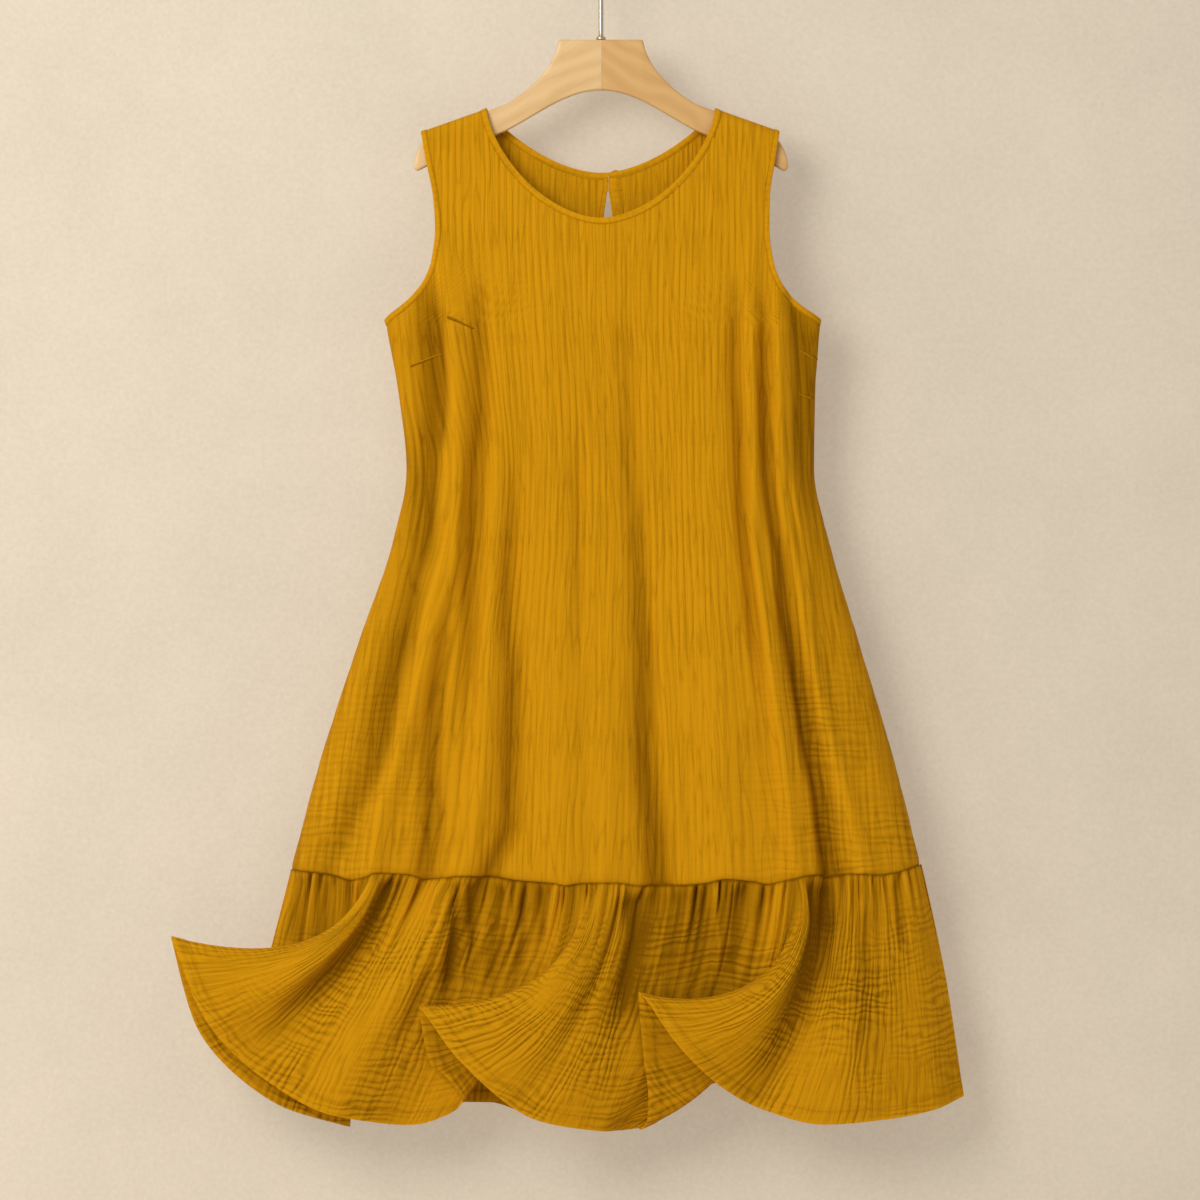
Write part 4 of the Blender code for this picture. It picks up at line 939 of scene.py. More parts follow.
def downShares(rows, hemShare):
    # Shares down the flounce, close at the seam and round the hem's stitching
    seam = [0.0, 0.004, 0.010, 0.019, 0.031]
    inner = np.linspace(0.046, 1.0 - hemShare - 0.012, rows - len(seam) - 8)
    hem = 1.0 - hemShare * np.array([1.06, 0.97, 0.80, 0.58, 0.36, 0.16, 0.05, 0.0])
    return np.concatenate([seam, inner, hem])


gathers = {
    "front": 13.6,  # pitch of the pleats
    "back": 17.0,
    "height": 2.4,
    "slits": 1.8,  # width of the long slits between them, and their depth
    "slitDepth": 3.6,
    "cuts": (3.4, 1.0, 0.13),  # the greatest depth, width and reach of a short cut
}


def gatherRelief(seamX, v, pitch, seed):
    # Pleats under the seam: a cosine of the place along the seam with a wandering phase; it
    # rises in the first tenth of the fall and dies away, further down for some than others.
    # Narrow slits and short cuts of random depth, width and reach lie between them
    phase = seamX / pitch + 0.8 * noise(seamX / 27 + seed, 0.0, 0)
    phase = phase + 0.3 * noise(seamX / 9 + seed, 0.0, 1)
    wave = 1.0 - 1.9 * (0.5 - 0.5 * np.cos(2 * math.pi * phase)) ** 1.6
    reach = 0.30 + 0.20 * noise(seamX / 21 + seed, 3.0, 2)
    strength = 0.75 + 0.55 * noise(seamX / 15 + seed, 5.0, 3)
    fall = v[:, None]
    relief = gathers["height"] * strength * wave * np.exp(-((fall / reach) ** 1.7))
    order = np.random.default_rng(int(seed))

    def spots(end, step, shift):
        places = np.arange(-end, end, step * pitch)
        return places + order.uniform(-shift, shift, len(places)) * pitch

    places = spots(316.0, 0.62, 0.36)
    limits = ((0.25, 1.0), (0.75, 1.6), (0.07, 0.42))
    depths, widths, lengths = (order.uniform(low, high, len(places)) for low, high in limits)
    sizes = (gathers["slitDepth"] * depths, gathers["slits"] * widths, lengths)
    for place, depth, width, length in zip(places, *sizes):
        relief = relief - depth * bell(seamX - place, width) * bell(fall, length)
    places = spots(312.0, 0.47, 0.4)
    cuts = order.uniform(0.2, 1.0, (len(places), 3)) * gathers["cuts"]
    for place, (depth, width, length) in zip(places, cuts):
        relief = relief - 1.25 * depth * bell(seamX - place, width + 0.6) * bell(fall, length)
    return relief * (1.0 - np.exp(-fall / 0.014))


def lineDistance(x, drop, path):
    # Distance from a broken line in the plane of the view, and the share along it
    best = np.full(x.shape, 1e9)
    share = np.zeros(x.shape)
    path = np.asarray(path, float)
    run = runAlong(path)
    for k in range(len(path) - 1):
        a, way = path[k], path[k + 1] - path[k]
        t = np.clip(((x - a[0]) * way[0] + (drop - a[1]) * way[1]) / (way @ way), 0.0, 1.0)
        far = np.hypot(x - a[0] - t * way[0], drop - a[1] - t * way[1])
        share = np.where(far < best, (run[k] + t * (run[k + 1] - run[k])) / run[-1], share)
        best = np.minimum(best, far)
    return best, share


# Creases of the front flounce: the ribs between which they lie, their height and width, and
# their path as x and drop
flounceCreases = [
    ("sideLeft", "rollARoot", -4.0, 9.0, [(-300, 840), (-304, 880), (-308, 930)]),
    ("sideLeft", "rollARoot", -2.5, 6.0, [(-272, 842), (-276, 890), (-280, 930)]),
    ("rollACrest", "wingRidge", 3.5, 10.0, [
        (-226, 836), (-257, 888), (-304, 925), (-346, 938), (-380, 930)]),
    ("wingUpper", "wingTrough", -7.5, 13.0, [
        (-208, 836), (-229, 888), (-268, 935), (-304, 967), (-325, 993), (-345, 1016)]),
    ("wingValley", "rollBRoot", 5.0, 14.0, [(-155, 846), (-176, 915), (-205, 956), (-242, 993)]),
    ("wingValley", "wingTrough", -3.5, 7.0, [(-172, 935), (-190, 980), (-210, 1022)]),
    ("wingRidge", "rollBRoot", -8.0, 6.5, [(-146, 846), (-145, 890), (-152, 960), (-160, 990)]),
    ("wingRidge", "rollBRoot", -4.0, 5.0, [(-128, 846), (-126, 900), (-136, 965), (-142, 985)]),
    ("wingRidge", "rollBRoot", -5.0, 7.0, [(-103, 846), (-104, 900), (-116, 965)]),
    ("wingRidge", "rollBRoot", -4.0, 5.0, [(-78, 846), (-78, 900), (-88, 955)]),
    ("wingRidge", "rollBRoot", -3.5, 4.5, [(-58, 846), (-58, 895), (-62, 935)]),
    ("rollBCrest", "rollBTrough", 4.5, 10.0, [(4, 845), (-25, 898), (-41, 930), (-72, 990)]),
    ("rollBFront", "rollBTrough", -4.0, 8.0, [(22, 862), (4, 920), (-24, 975), (-60, 1030)]),
    ("rollBBelly", "gatherBay", -9.0, 13.0, [(37, 846), (38, 895), (26, 950), (10, 1010)]),
    ("rollBTrough", "rollCRoot", -4.5, 15.0, [(68, 846), (72, 900), (66, 950)]),
    ("rollBTrough", "rollCRoot", -3.5, 9.0, [(97, 846), (98, 900), (92, 950)]),
    ("rollBTrough", "rollCRoot", 5.0, 3.6, [(114, 846), (117, 900), (114, 950)]),
    ("rollBTrough", "rollCRoot", -4.0, 8.0, [(134, 848), (134, 900), (130, 945)]),
    ("rollCFront", "plainRidge", -8.0, 13.0, [
        (212, 842), (219, 880), (206, 930), (188, 975), (162, 1012), (140, 1040)]),
    ("plainRidge", "sideRight", -3.5, 13.0, [(262, 880), (268, 940), (266, 1000), (254, 1050)]),
    ("plainRidge", "sideRight", -3.0, 5.0, [(292, 838), (298, 880), (302, 920)]),
]
flounceShades = [
    # Painted shade on the cloth under and behind a roll: from rib, to rib, how much darker, down
    # to which share
    ("sideLeft", "rollARoot", 0.30, 9.0), ("rollARoot", "rollACrest", 0.24, 9.0),
    ("rollBRoot", "rollBCrest", 0.32, 9.0), ("rollCRoot", "rollCCrest", 0.32, 9.0),
    ("rollBBelly", "rollCRoot", 0.46, 0.62), ("wingRidge", "rollBRoot", 0.34, 0.50),
    ("rollCFront", "plainTrough", 0.20, 0.55),
]


flounceShade = {
    # painted light and shade: how much each of these brightens the cloth's colour, from the
    # level on. The crinkle's grooves, the seam, the hem's stitching line and the cloth under
    # the rolls are painted darker, the hem's edge lighter, and creases and pleats both ways
    "level": 0.86,
    "crinkle": 0.34,
    "folds": 0.085,
    "pleats": 0.14,
    "seam": -0.55,
    "stitching": -0.14,
    "hemHighlight": 0.20,
    "under": -1.0,
}


def loftedFlounce(name, side, ribs, rows, columns, pitch, creases, shades, seed, hemShare=0.05):
    # Each row is a smooth curve through the same place on every rib. Columns are shared out
    # by the longer of a rib gap's widths at the seam and the hem
    names, controls = list(ribs), np.array(list(ribs.values()))
    starts, hems = controls[:, 0, 0], controls[:, -1]
    steps = np.maximum(np.diff(starts) * 1.6, np.linalg.norm(np.diff(hems, axis=0), axis=1))
    run = np.concatenate([[0.0], np.cumsum(steps)]) / steps.sum()
    t = np.linspace(0.0, 1.0, columns)
    v = downShares(rows, hemShare)
    points = np.swapaxes(smoothThrough(run, np.array([bezier(c, v) for c in controls]))(t), 0, 1)
    seamX = smoothThrough(run, starts)(t)
    points = points + (seamPoint(side, seamX) - points[0]) * bell(v, 0.22)[:, None, None]
    normals = outwardNormals(points, side)
    length = np.linalg.norm(np.diff(points, axis=0), axis=2)
    down = np.concatenate([np.zeros((1, columns)), np.cumsum(length, axis=0)])
    width = runAlong(points[-1])
    u = np.broadcast_to(width - width[-1] / 2, down.shape)

    def between(first, last, edge):
        # 1 from one rib to another. Its edges are narrow, or take up a share of the distance
        low, high = (run[names.index(k)] for k in (first, last))
        if edge is None:
            edges = (low - 0.01, low + 0.01), (-high - 0.01, 0.01 - high)
        else:
            edges = (low, low + edge * (high - low)), (-high, -high + edge * (high - low))
        return smoothStep(t, *edges[0]) * smoothStep(-t, *edges[1])

    def downStep(low, high):
        return smoothStep(v, low, high)[:, None]

    spacing = np.clip(np.gradient(seamX) * columns / flounceMesh["columns"] / 0.55, 0.0, 1.0)
    calm = np.minimum(1.0, np.minimum(t, 1 - t) / 0.02)
    pleats = gatherRelief(seamX, v, pitch, seed) * calm * spacing
    folds = 1.6 * noise(u / 46 + seed, down / 110, 6) * downStep(0.25, 0.6)
    for first, last, height, spread, path in creases:
        far, share = lineDistance(points[..., 0], points[..., 2], path)
        ends = (1.0 - smoothStep(share, 0.55, 1.0)) * downStep(0.0, 0.07)
        folds = folds + height * bell(far, spread) * ends * between(first, last, None)
    # Painted shade under and behind the rolls
    under = 0.0 * u
    for first, last, amount, foot in shades:
        lasts = 1.0 - downStep(foot - 0.2, foot + 0.1)
        under = under + amount * between(first, last, 0.30) * lasts
    fine = crinkleHeight(u, down, seed) * 0.40
    quiet = downStep(0.0, 0.05) * (1.0 - 0.5 * downStep(1 - hemShare, 1.0))
    points = points + normals * (pleats + folds + fine * quiet)[..., None]
    world = inFrame(*np.moveaxis(points, 2, 0))
    outward = outwardNormals(world, side)
    hem = downStep(1 - hemShare * 1.03, 1 - hemShare * 0.97)
    thick = dress["cloth"] + (dress["hemFold"] - dress["cloth"]) * hem + 0.0 * u
    # Painted light and shade of the flounce's colour: from its crinkle, creases and pleats, darker
    # at the seam, the hem's stitching line and under the rolls, lighter at the hem's edge
    parts = {
        "crinkle": fine,
        "folds": np.minimum(folds, 2.0),
        "pleats": np.minimum(pleats, 1.2),
        "seam": bell(down, 1.7),
        "stitching": bell(v - 1.0 + hemShare * 1.05, hemShare * 0.22)[:, None],
        "hemHighlight": downStep(1 - hemShare * 0.35, 1 - hemShare * 0.1),
        "under": under,
    }
    opened = downStep(0.03, 0.30)
    crossed = np.clip(0.52 + 0.75 * noise(u / 48 + seed, down / 42, 7), 0.04, 1.1)
    ridged = np.clip(0.52 + 0.75 * noise(u / 42 + seed, down / 60, 3), 0.04, 1.1)
    marks = {
        "paintedShade": flounceShade["level"] + sum(flounceShade[k] * part for k, part in parts.items()),
        "crossed": crossed * opened,
        "ridged": ridged * (0.3 + 0.7 * opened),
    }
    quads = gridQuads(np.arange(u.size).reshape(u.shape))
    uv = np.stack([u, -down], axis=-1).reshape(-1, 2) * mm
    flat = [a.reshape(-1, 3) for a in (world, outward)]
    piece = newShell(f"{name}_cloth", *flat, quads, thick.ravel(), cloth, uv, marks)
    print(name, "made, hem", round(width[-1]), "mm")
    return settle(piece, "cloth", name), (world, outward)


frontFlounce, frontHem = loftedFlounce(
    "front_flounce", -1, {key: frontRib(-1, rib) for key, rib in frontRibs.items()},
    flounceMesh["rows"], flounceMesh["columns"], gathers["front"], flounceCreases,
    flounceShades, 90.0,
)
flutes = {f"flute{k}": backRib(rib) for k, rib in enumerate(backRibs)}
backEnds = [{key: frontRib(1, frontRibs[key])} for key in ("sideLeft", "sideRight")]
backFlounce, backHem = loftedFlounce(
    "back_flounce", 1, backEnds[0] | flutes | backEnds[1],
    flounceMesh["backRows"], flounceMesh["backColumns"], gathers["back"], [], [], 130.0,
)


# Bound edges: a flattened round profile carried along the edge, with a groove where it is
# stitched. Each profile point is an inset from the edge and a height off the panel
bandProfile = {"height": 1.25, "groove": 0.5, "stitchInset": 0.84, "points": 22}


def bandRings(width):
    # The profile runs over the outside from the inner edge to the outer one and back inside
    angle = fullTurn(bandProfile["points"])
    across, up = np.cos(angle), np.sin(angle)
    inset = width / 2 * (1 + np.sign(across) * np.abs(across) ** 0.8)
    height = np.sign(up) * np.abs(up) ** 0.45 * bandProfile["height"]
    groove = bell(inset / width - bandProfile["stitchInset"], 0.07)
    return inset, height * (1 - bandProfile["groove"] * groove)


def surfaceNormals(side, line):
    # Unit normals of a panel along a line of x and drop, from differences of half a mm; they
    # point up on the shoulder line and outwards on the side seams
    x, drop = line[:, 0], line[:, 1]
    dx = panelY(side, x + 0.5, drop) - panelY(side, x - 0.5, drop)
    dd = panelY(side, x, drop + 0.5) - panelY(side, x, drop - 0.5)
    normals = np.stack([-dx, np.ones_like(dx), dd], axis=-1) * side
    near = (drop - shoulderDrop(x) < 0.6)[:, None]
    normals = np.where(near, np.array([0.0, 0.0, 1.0]), normals)
    atSide = ((fromSides(x, drop) < 0.6) & (drop > dress["underarm"] - 3))[:, None]
    return unit(np.where(atSide, np.stack([np.sign(x), 0 * x, 0 * x], -1), normals))


def newBand(name, rings, closed, node, shade):
    # rings: (profile point, along, 3) positions, joined round the profile and along; shade
    # gives each profile point's level of painted shade for the material
    profile, count = rings.shape[:2]
    index = np.arange(profile * count).reshape(profile, count)
    loop = np.vstack([index, index[:1]])
    faces = [gridQuads(np.hstack([loop, loop[:, :1]]) if closed else loop)]
    for end in () if closed else (index[:, 0], index[::-1, -1]):
        near, far = end[: profile // 2], end[::-1][: profile // 2]
        faces.append(np.stack([near[:-1], near[1:], far[1:], far[:-1]], axis=1))
    along = runAlong(rings.mean(axis=0))
    around = np.linspace(0, 0.016, profile)
    uv = np.stack(np.broadcast_arrays(around[:, None], along[None, :]), axis=-1).reshape(-1, 2)
    marks = {"paintedShade": np.repeat(shade, count)}
    piece = newMesh(name, rings.reshape(-1, 3), np.vstack(faces), binding, uv, marks, 70.0)
    return settle(piece, "binding", *node)


def bandShade(width):
    # Painted shade: darker in the stitched groove and at the inner edge, where the band meets the
    # panel
    inset = bandRings(width)[0] / width
    groove = bell(inset - bandProfile["stitchInset"], 0.08)
    return 0.90 - 0.30 * groove - 0.42 * smoothStep(inset, 0.90, 1.0)


def offPanel(side, line, lift):
    # Points off a panel along its normals by a lift in millimetres
    lift = np.reshape(lift, (-1, 1)) * mm
    return panelPoints(side, line[:, 0], line[:, 1]) + surfaceNormals(side, line) * lift


def bandAlong(side, lineAt, width, shares):
    # Positions of the profile along an edge: each inset has a line of its own on the panel,
    # and the stitches draw the band in and out a little
    pucker = 0.12 * np.cos(np.arange(len(shares)) * 1.9)
    rings = []
    for inset, height in zip(*bandRings(width)):
        line = atShares(lineAt(inset), shares)
        line[:, 1] = np.maximum(line[:, 1], shoulderDrop(line[:, 0]))
        rings.append(offPanel(side, line, height + pucker * np.sign(height) * (abs(height) > 0.6)))
    return np.array(rings)


def edgeShares(count):
    # Equal steps, closer at both ends, where the edge turns over the shoulder
    near = np.array([0.0, 0.0015, 0.004, 0.008, 0.014, 0.022])
    inner = np.linspace(0.032, 0.968, count - 2 * len(near))
    return np.concatenate([near, inner, 1.0 - near[::-1]])


def neckRings(side, shares):
    return bandAlong(side, lambda inset: neckEdge(side, inset), dress["neckBand"], shares)


def armRings(side, hand, shares):
    return bandAlong(side, lambda inset: armholeEdge(hand, inset), dress["armBand"], shares)


neckShade, armShade = bandShade(dress["neckBand"]), bandShade(dress["armBand"])
node = "neck_binding_front"
newBand(f"{node}_cloth", neckRings(-1, edgeShares(230)), False, [node], neckShade)
backLine = neckEdge(1)
slitShares = [
    float(np.interp(keyhole["x"] + hand * keyhole["slit"], backLine[:, 0], np.linspace(0, 1, 401)))
    for hand in (-1, 1)
]
backShares = edgeShares(200)
leftShares = np.append(backShares[backShares < slitShares[0] - 0.002], slitShares[0])
rightShares = np.insert(backShares[backShares > slitShares[1] + 0.002], 0, slitShares[1])
for word, shares in (("left", leftShares), ("right", rightShares)):
    node = f"neck_binding_back_{word}"
    newBand(f"{node}_cloth", neckRings(1, shares), False, [node], neckShade)
for hand, word in ((-1, "left"), (1, "right")):
    front, back = (armRings(side, hand, edgeShares(120)) for side in (-1, 1))
    front[:, [0, -1], 1] = back[:, [0, -1], 1] = 0.0
    rings = np.concatenate([front, back[:, -2:0:-1]], axis=1)
    node = f"armhole_binding_{word}"
    newBand(f"{node}_cloth", rings, True, [node], armShade)


def keyholeRings(count=60):
    # The band's profile round the keyhole, wider than it is at its hidden side; both halves
    # ease to one point at the foot
    ease = np.linspace(0.0, 1.0, count)[:, None] ** 6
    rings = []
    for inset, height in zip(*bandRings(keyhole["band"])):
        wider = inset * keyhole["facing"] / keyhole["band"]
        left, wide = (evened(keyholeHalf(s), count) for s in (inset, wider))
        foot = (left[-1] + wide[-1]) / 2
        left, wide = (half + (foot - half[-1]) * ease for half in (left, wide))
        line = np.vstack([left, wide[-2::-1] * [-1, 1]]) + [keyhole["x"], 0.0]
        rings.append(offPanel(1, line, height))
    return np.array(rings)


node = "keyhole_binding"
newBand(f"{node}_cloth", keyholeRings(), False, [node], bandShade(keyhole["band"]))
print("bindings made")


# Stitches: short arched threads set along a line
stitch = {"length": 2.5, "step": 3.4, "radius": 0.26, "sides": 4, "lift": 0.75}


def stitchRow(line, normals):
    # line and normals are in metres; each thread is a small tube whose middle stands up and
    # whose ends dip into the cloth
    length, step, radius = (stitch[key] * mm for key in ("length", "step", "radius"))
    run = runAlong(line)
    s = np.linspace(-1.0, 1.0, 6)
    reach = np.arange(step / 2, run[-1], step)[:, None] + s * length / 2
    middle, up = readAt(reach, run, line), readAt(reach, run, normals)
    along = unit(np.gradient(middle, axis=1))
    beside = unit(np.cross(along, up))
    angle = fullTurn(stitch["sides"])[:, None]
    lift = (radius * (0.9 - 2.6 * s**6))[None, :, None]
    thick = (radius * np.sqrt(np.maximum(1 - s**4, 0.06)))[None, :, None, None]
    ring = beside[..., None, :] * np.cos(angle) + up[..., None, :] * np.sin(angle)
    points = (middle + up * lift)[..., None, :] + ring * thick
    index = np.arange(points[..., 0].size).reshape(points.shape[:3])
    around = np.roll(index, -1, axis=2)
    tube = np.stack([index[:, :-1], around[:, :-1], around[:, 1:], index[:, 1:]], axis=-1)
    caps = np.concatenate([index[:, 0], index[:, -1, ::-1]])
    return points.reshape(-1, 3), np.vstack([tube.reshape(-1, 4), caps])


def newStitches(name, rows):
    # One piece for all the stitches of a seam
    vertices, faces, start = [], [], 0
    for line, normals in rows:
        points, quads = stitchRow(line, normals)
        vertices.append(points)
        faces.append(quads + start)
        start += len(points)
    points = np.vstack(vertices)
    marks = {"paintedShade": np.full(len(points), 0.8)}
    faces = np.vstack(faces)
    return settle(
        newMesh(name, points, faces, threadMaterial, points[:, [0, 2]], marks, 80.0), "binding"
    )


def bandStitchLine(side, lineAt, width, count=300):
    line = evened(lineAt(width * bandProfile["stitchInset"]), count)[4:-4]
    return offPanel(side, line, stitch["lift"]), surfaceNormals(side, line)


def neckStitchLine(side):
    return bandStitchLine(side, lambda inset: neckEdge(side, inset), dress["neckBand"])


newStitches("neck_stitches", [neckStitchLine(-1)])
backNeck = neckStitchLine(1)
fromSlit = backNeck[0][:, 0] / mm - keyhole["x"]
parts = (fromSlit < -1.5, fromSlit > 1.5)
newStitches("back_neck_stitches", [[values[part] for values in backNeck] for part in parts])
for hand, word in ((-1, "left"), (1, "right")):
    rows = [
        bandStitchLine(side, lambda inset: armholeEdge(hand, inset), dress["armBand"])
        for side in (-1, 1)
    ]
    newStitches(f"armhole_stitches_{word}", rows)
for word, (points, normals) in (("front", frontHem), ("back", backHem)):
    # The row of the flounce's grid that lies on the stitching, just off the cloth
    points, normals = points[-8], normals[-8]
    newStitches(f"{word}_hem_stitches", [(points + normals * stitch["lift"] * mm, normals)])
print("stitches made")

# Darts: a narrow sewn lip that tapers away from the armhole or side seam
darts = {
    # name: points as x and drop, from the wide end to the tip
    "dart_left_side": [(-190, 327), (-174, 320), (-157, 314)],
    "dart_left_front": [(-153, 278), (-139, 284), (-124, 291)],
    "dart_right_upper": [(216, 320), (206, 314), (196, 309)],
    "dart_right_lower": [(212, 359), (204, 356), (196, 353)],
}
dartLip = {
    "width": 1.5, "height": 0.85, "lift": 0.25, "points": 48, "profile": 10, "shadeTurn": 2.6,
}


def newDart(name, path):
    # A half-round lip swept along the dart, whose width and height shrink to the tip; its
    # middle control points lie two thirds of the way to the path's middle
    start, middle, end = np.asarray(path, float)
    run = np.linspace(0.0, 1.0, dartLip["points"])
    line = bezier([start, (start + 2 * middle) / 3, (2 * middle + end) / 3, end], run)
    size = np.sqrt(np.maximum(1.0 - run**3, 0.03)) * (0.6 + 0.4 * np.minimum(1.0, run / 0.06))
    along = unit(np.gradient(line, axis=0))
    beside = np.stack([-along[:, 1], along[:, 0]], axis=1) * dartLip["width"]
    angle = fullTurn(dartLip["profile"])
    rings = [
        offPanel(
            -1,
            line + beside * math.cos(a) * size[:, None],
            dartLip["lift"] + math.sin(a) * dartLip["height"] * size,
        )
        for a in angle
    ]
    # Painted light and shade: the lip's colour is lighter on one side and darker on the other,
    # turned by shadeTurn
    shade = 0.45 + 0.5 * np.cos(angle + dartLip["shadeTurn"])
    return newBand(name, np.array(rings), False, [], shade)


for name, path in darts.items():
    newDart(name, path)
print("darts made")


# The hanger
hanger = {
    "half": 6.5,  # half its thickness
    "rounding": 2.2,
    "armLength": 187.0,
    "seat": 2.4,  # the wood lies this far under the line where the cloth turns over
    "crown": 42.0,
    "joint": 0.12,  # half the gap between its two halves
    "steps": 26,
}


def hangerOutline():
    # Half the outline from the middle of the top round to the middle of the arch below:
    # straight lines and four cubic curves, as (distance from the middle, drop). Each point
    # of the upper edge has one straight below it on the lower edge
    t = np.linspace(0.0, 1.0, hanger["steps"] + 1)
    end, crown = hanger["armLength"], hanger["crown"]
    ends = (dress["neckPointX"] - 7, end - 27)
    carry = [(x, float(shoulderDrop(x)) + hanger["seat"]) for x in ends]
    curves = [
        [(crown + 0.4, 2.2), (crown + 5, 28), (70, 50), (95, 64.5)],
        [carry[1], (end - 17, carry[1][1] + 3.5), (end - 2, 103), (end, 126)],
        [(end - 5, 130.5), (160, 119), (130, 104), (101, 94)],
        [(101, 94), (65, 77), (36, 50.3), (0, 50.3)],
    ]
    crownLine, tip, under, arch = (bezier(c, t) for c in curves)
    tipTurn = bezier([(end, 126), (end, 129.5), (end - 2.5, 131.5), (end - 5, 130.5)], t[3:-3])
    straight = np.linspace(carry[0], carry[1], 14)
    turn = [(crown - 2.2, 0), (crown - 0.9, 0), (crown + 0.2, 0.9), (crown + 0.4, 2.2)]
    corner = bezier(turn, t)
    top = np.linspace((0.0, 0.0), turn[0], 12)[:-1]
    upper = np.vstack([top, corner[::6], crownLine[1:], straight[:-1], tip[:-1]])
    lower = np.vstack([tipTurn, under, arch[1:]])[::-1]
    below = np.stack([upper[:, 0], np.interp(upper[:, 0], lower[:, 0], lower[:, 1])], axis=1)
    return np.vstack([upper, below[::-1]])


def woodGroup():
    # Growth rings seen on a sawn face: a wave across the grain, bent by slow noise, with fine
    # streaks along it
    group, start, end = newGroup(
        "woodGrain",
        {"Vector": "Vector", "Light": "Color", "Dark": "Color"},
        {"Color": "Color", "Height": "Float", "Roughness": "Float"},
    )
    place = start["Vector"]
    bend = shaderNode(group, "TexNoise", place, Scale=9.0, Detail=2.0).outputs["Color"]
    bend = shaderNode(group, "VectorMath", bend, operation="SCALE", Scale=0.045).outputs[0]
    moved = shaderNode(group, "VectorMath", place, bend, operation="ADD").outputs[0]
    rings = shaderNode(group, "TexWave", moved, Scale=17.0, Distortion=4.5, Detail=2.0)
    rings.bands_direction = "Z"
    long = shaderNode(group, "Mapping", place, Scale=(30.0, 30.0, 700.0)).outputs["Vector"]
    streak = shaderNode(group, "TexNoise", long, Scale=1.0, Detail=4.0, Roughness=0.6)
    streaks = sums(group, "MULTIPLY", streak.outputs["Fac"], 0.70)
    share = sums(group, "MULTIPLY_ADD", rings.outputs["Fac"], 0.40, streaks)
    colour = blended(group, share, start["Light"], start["Dark"])
    wire(group, end, Color=colour, Height=share, Roughness=mapped(group, share, 0.34, 0.50))
    return group


grain = woodGroup()


def woodMaterial(name, light, dark, turn):
    # Lacquered wood whose grain is turned to run along its half of the hanger
    material, tree, shader = newMaterial(name)
    place = shaderNode(tree, "TexCoord").outputs["Object"]
    spin = shaderNode(tree, "Mapping", place, Rotation=(0.0, math.radians(turn), 0.0))
    wood = shaderNode(tree, "Group", node_tree=grain)
    wire(tree, wood, Vector=spin.outputs["Vector"], Light=(*light, 1.0), Dark=(*dark, 1.0))
    looks = {"Base Color": wood.outputs["Color"], "Coat Weight": 0.25, "Coat Roughness": 0.25}
    normal = bumped(tree, wood.outputs["Height"], 0.25, 0.3)
    wire(tree, shader, Roughness=wood.outputs["Roughness"], Normal=normal, **looks)
    return material


def newHangerHalf(word, hand, material):
    # Rings of the outline from front to back, drawn in by a quarter round at both faces; each
    # face is closed by strips between its upper and lower edge
    outline = hangerOutline()
    outline[:, 0] = np.maximum(outline[:, 0], hanger["joint"])
    along = np.gradient(outline, axis=0)
    along /= np.maximum(np.linalg.norm(along, axis=1, keepdims=True), 1e-9)
    inward = np.stack([-along[:, 1], along[:, 0]], axis=1)
    inward[[0, -1]] = (0, 1), (0, -1)
    turn = np.linspace(0.0, math.pi / 2, 6)[::-1]
    inset = hanger["rounding"] * (1 - np.cos(turn))
    depth = hanger["rounding"] * (1 - np.sin(turn)) - hanger["half"]
    inset = np.concatenate([inset, [0.0], inset[::-1]])
    depth = np.concatenate([depth, [0.0], -depth[::-1]])
    moved = outline + inward * inset[:, None, None]
    rings = inFrame(hand * moved[..., 0], depth[:, None], moved[..., 1])
    rings[:, [0, -1], 0] = hand * hanger["joint"] * mm
    node = f"hanger_{word}"
    faces = cappedTube(rings)
    piece = newMesh(f"{node}_wood", rings.reshape(-1, 3), faces, material, None, None, 40.0)
    return settle(piece, "wood", node)


woodLooks = {
    # which half: its side, the lighter and the darker wood, turn of its grain
    "left": (-1, (0.84, 0.59, 0.29), (0.66, 0.40, 0.15), 30.0),
    "right": (1, (0.74, 0.45, 0.17), (0.58, 0.31, 0.09), -30.0),
}
for word, (hand, *look) in woodLooks.items():
    newHangerHalf(word, hand, woodMaterial(f"wood{word.title()}", *look))
print("hanger made")

hook = {"wire": 5.0, "radius": 19.5, "foot": 4.6, "stem": 40.0, "sides": 20}


def hookRoute():
    # Up the stem, out to the left in a cubic curve and over the top in a circle
    centre = -(hook["radius"] - hook["wire"] / 2)
    top = centre - hook["stem"]
    angles = np.radians(np.linspace(208, -38, 60))
    loop = hook["radius"] * np.stack([np.cos(angles), np.sin(angles)], 1) + [0.0, centre]
    bend = [(0.0, top), (0.0, centre - 29.0), (-9.0, centre - 25.0), loop[0]]
    stem = np.linspace((0.0, hook["foot"] - dress["hookRise"]), (0.0, top), 8)[:-1]
    route = np.vstack([stem, bezier(bend, np.linspace(0, 1, 18))[:-1], loop])
    return np.stack([route[:, 0], 0 * route[:, 0], route[:, 1]], axis=1) * mm


def newRound(name, rings, uv, material, sharpAngle, slotName, nodes):
    # A closed piece from a stack of rings
    marks = {"paintedShade": np.full(rings[..., 0].size, 0.7)}
    faces = cappedTube(rings)
    piece = newMesh(name, rings.reshape(-1, 3), faces, material, uv, marks, sharpAngle)
    return settle(piece, slotName, *nodes)


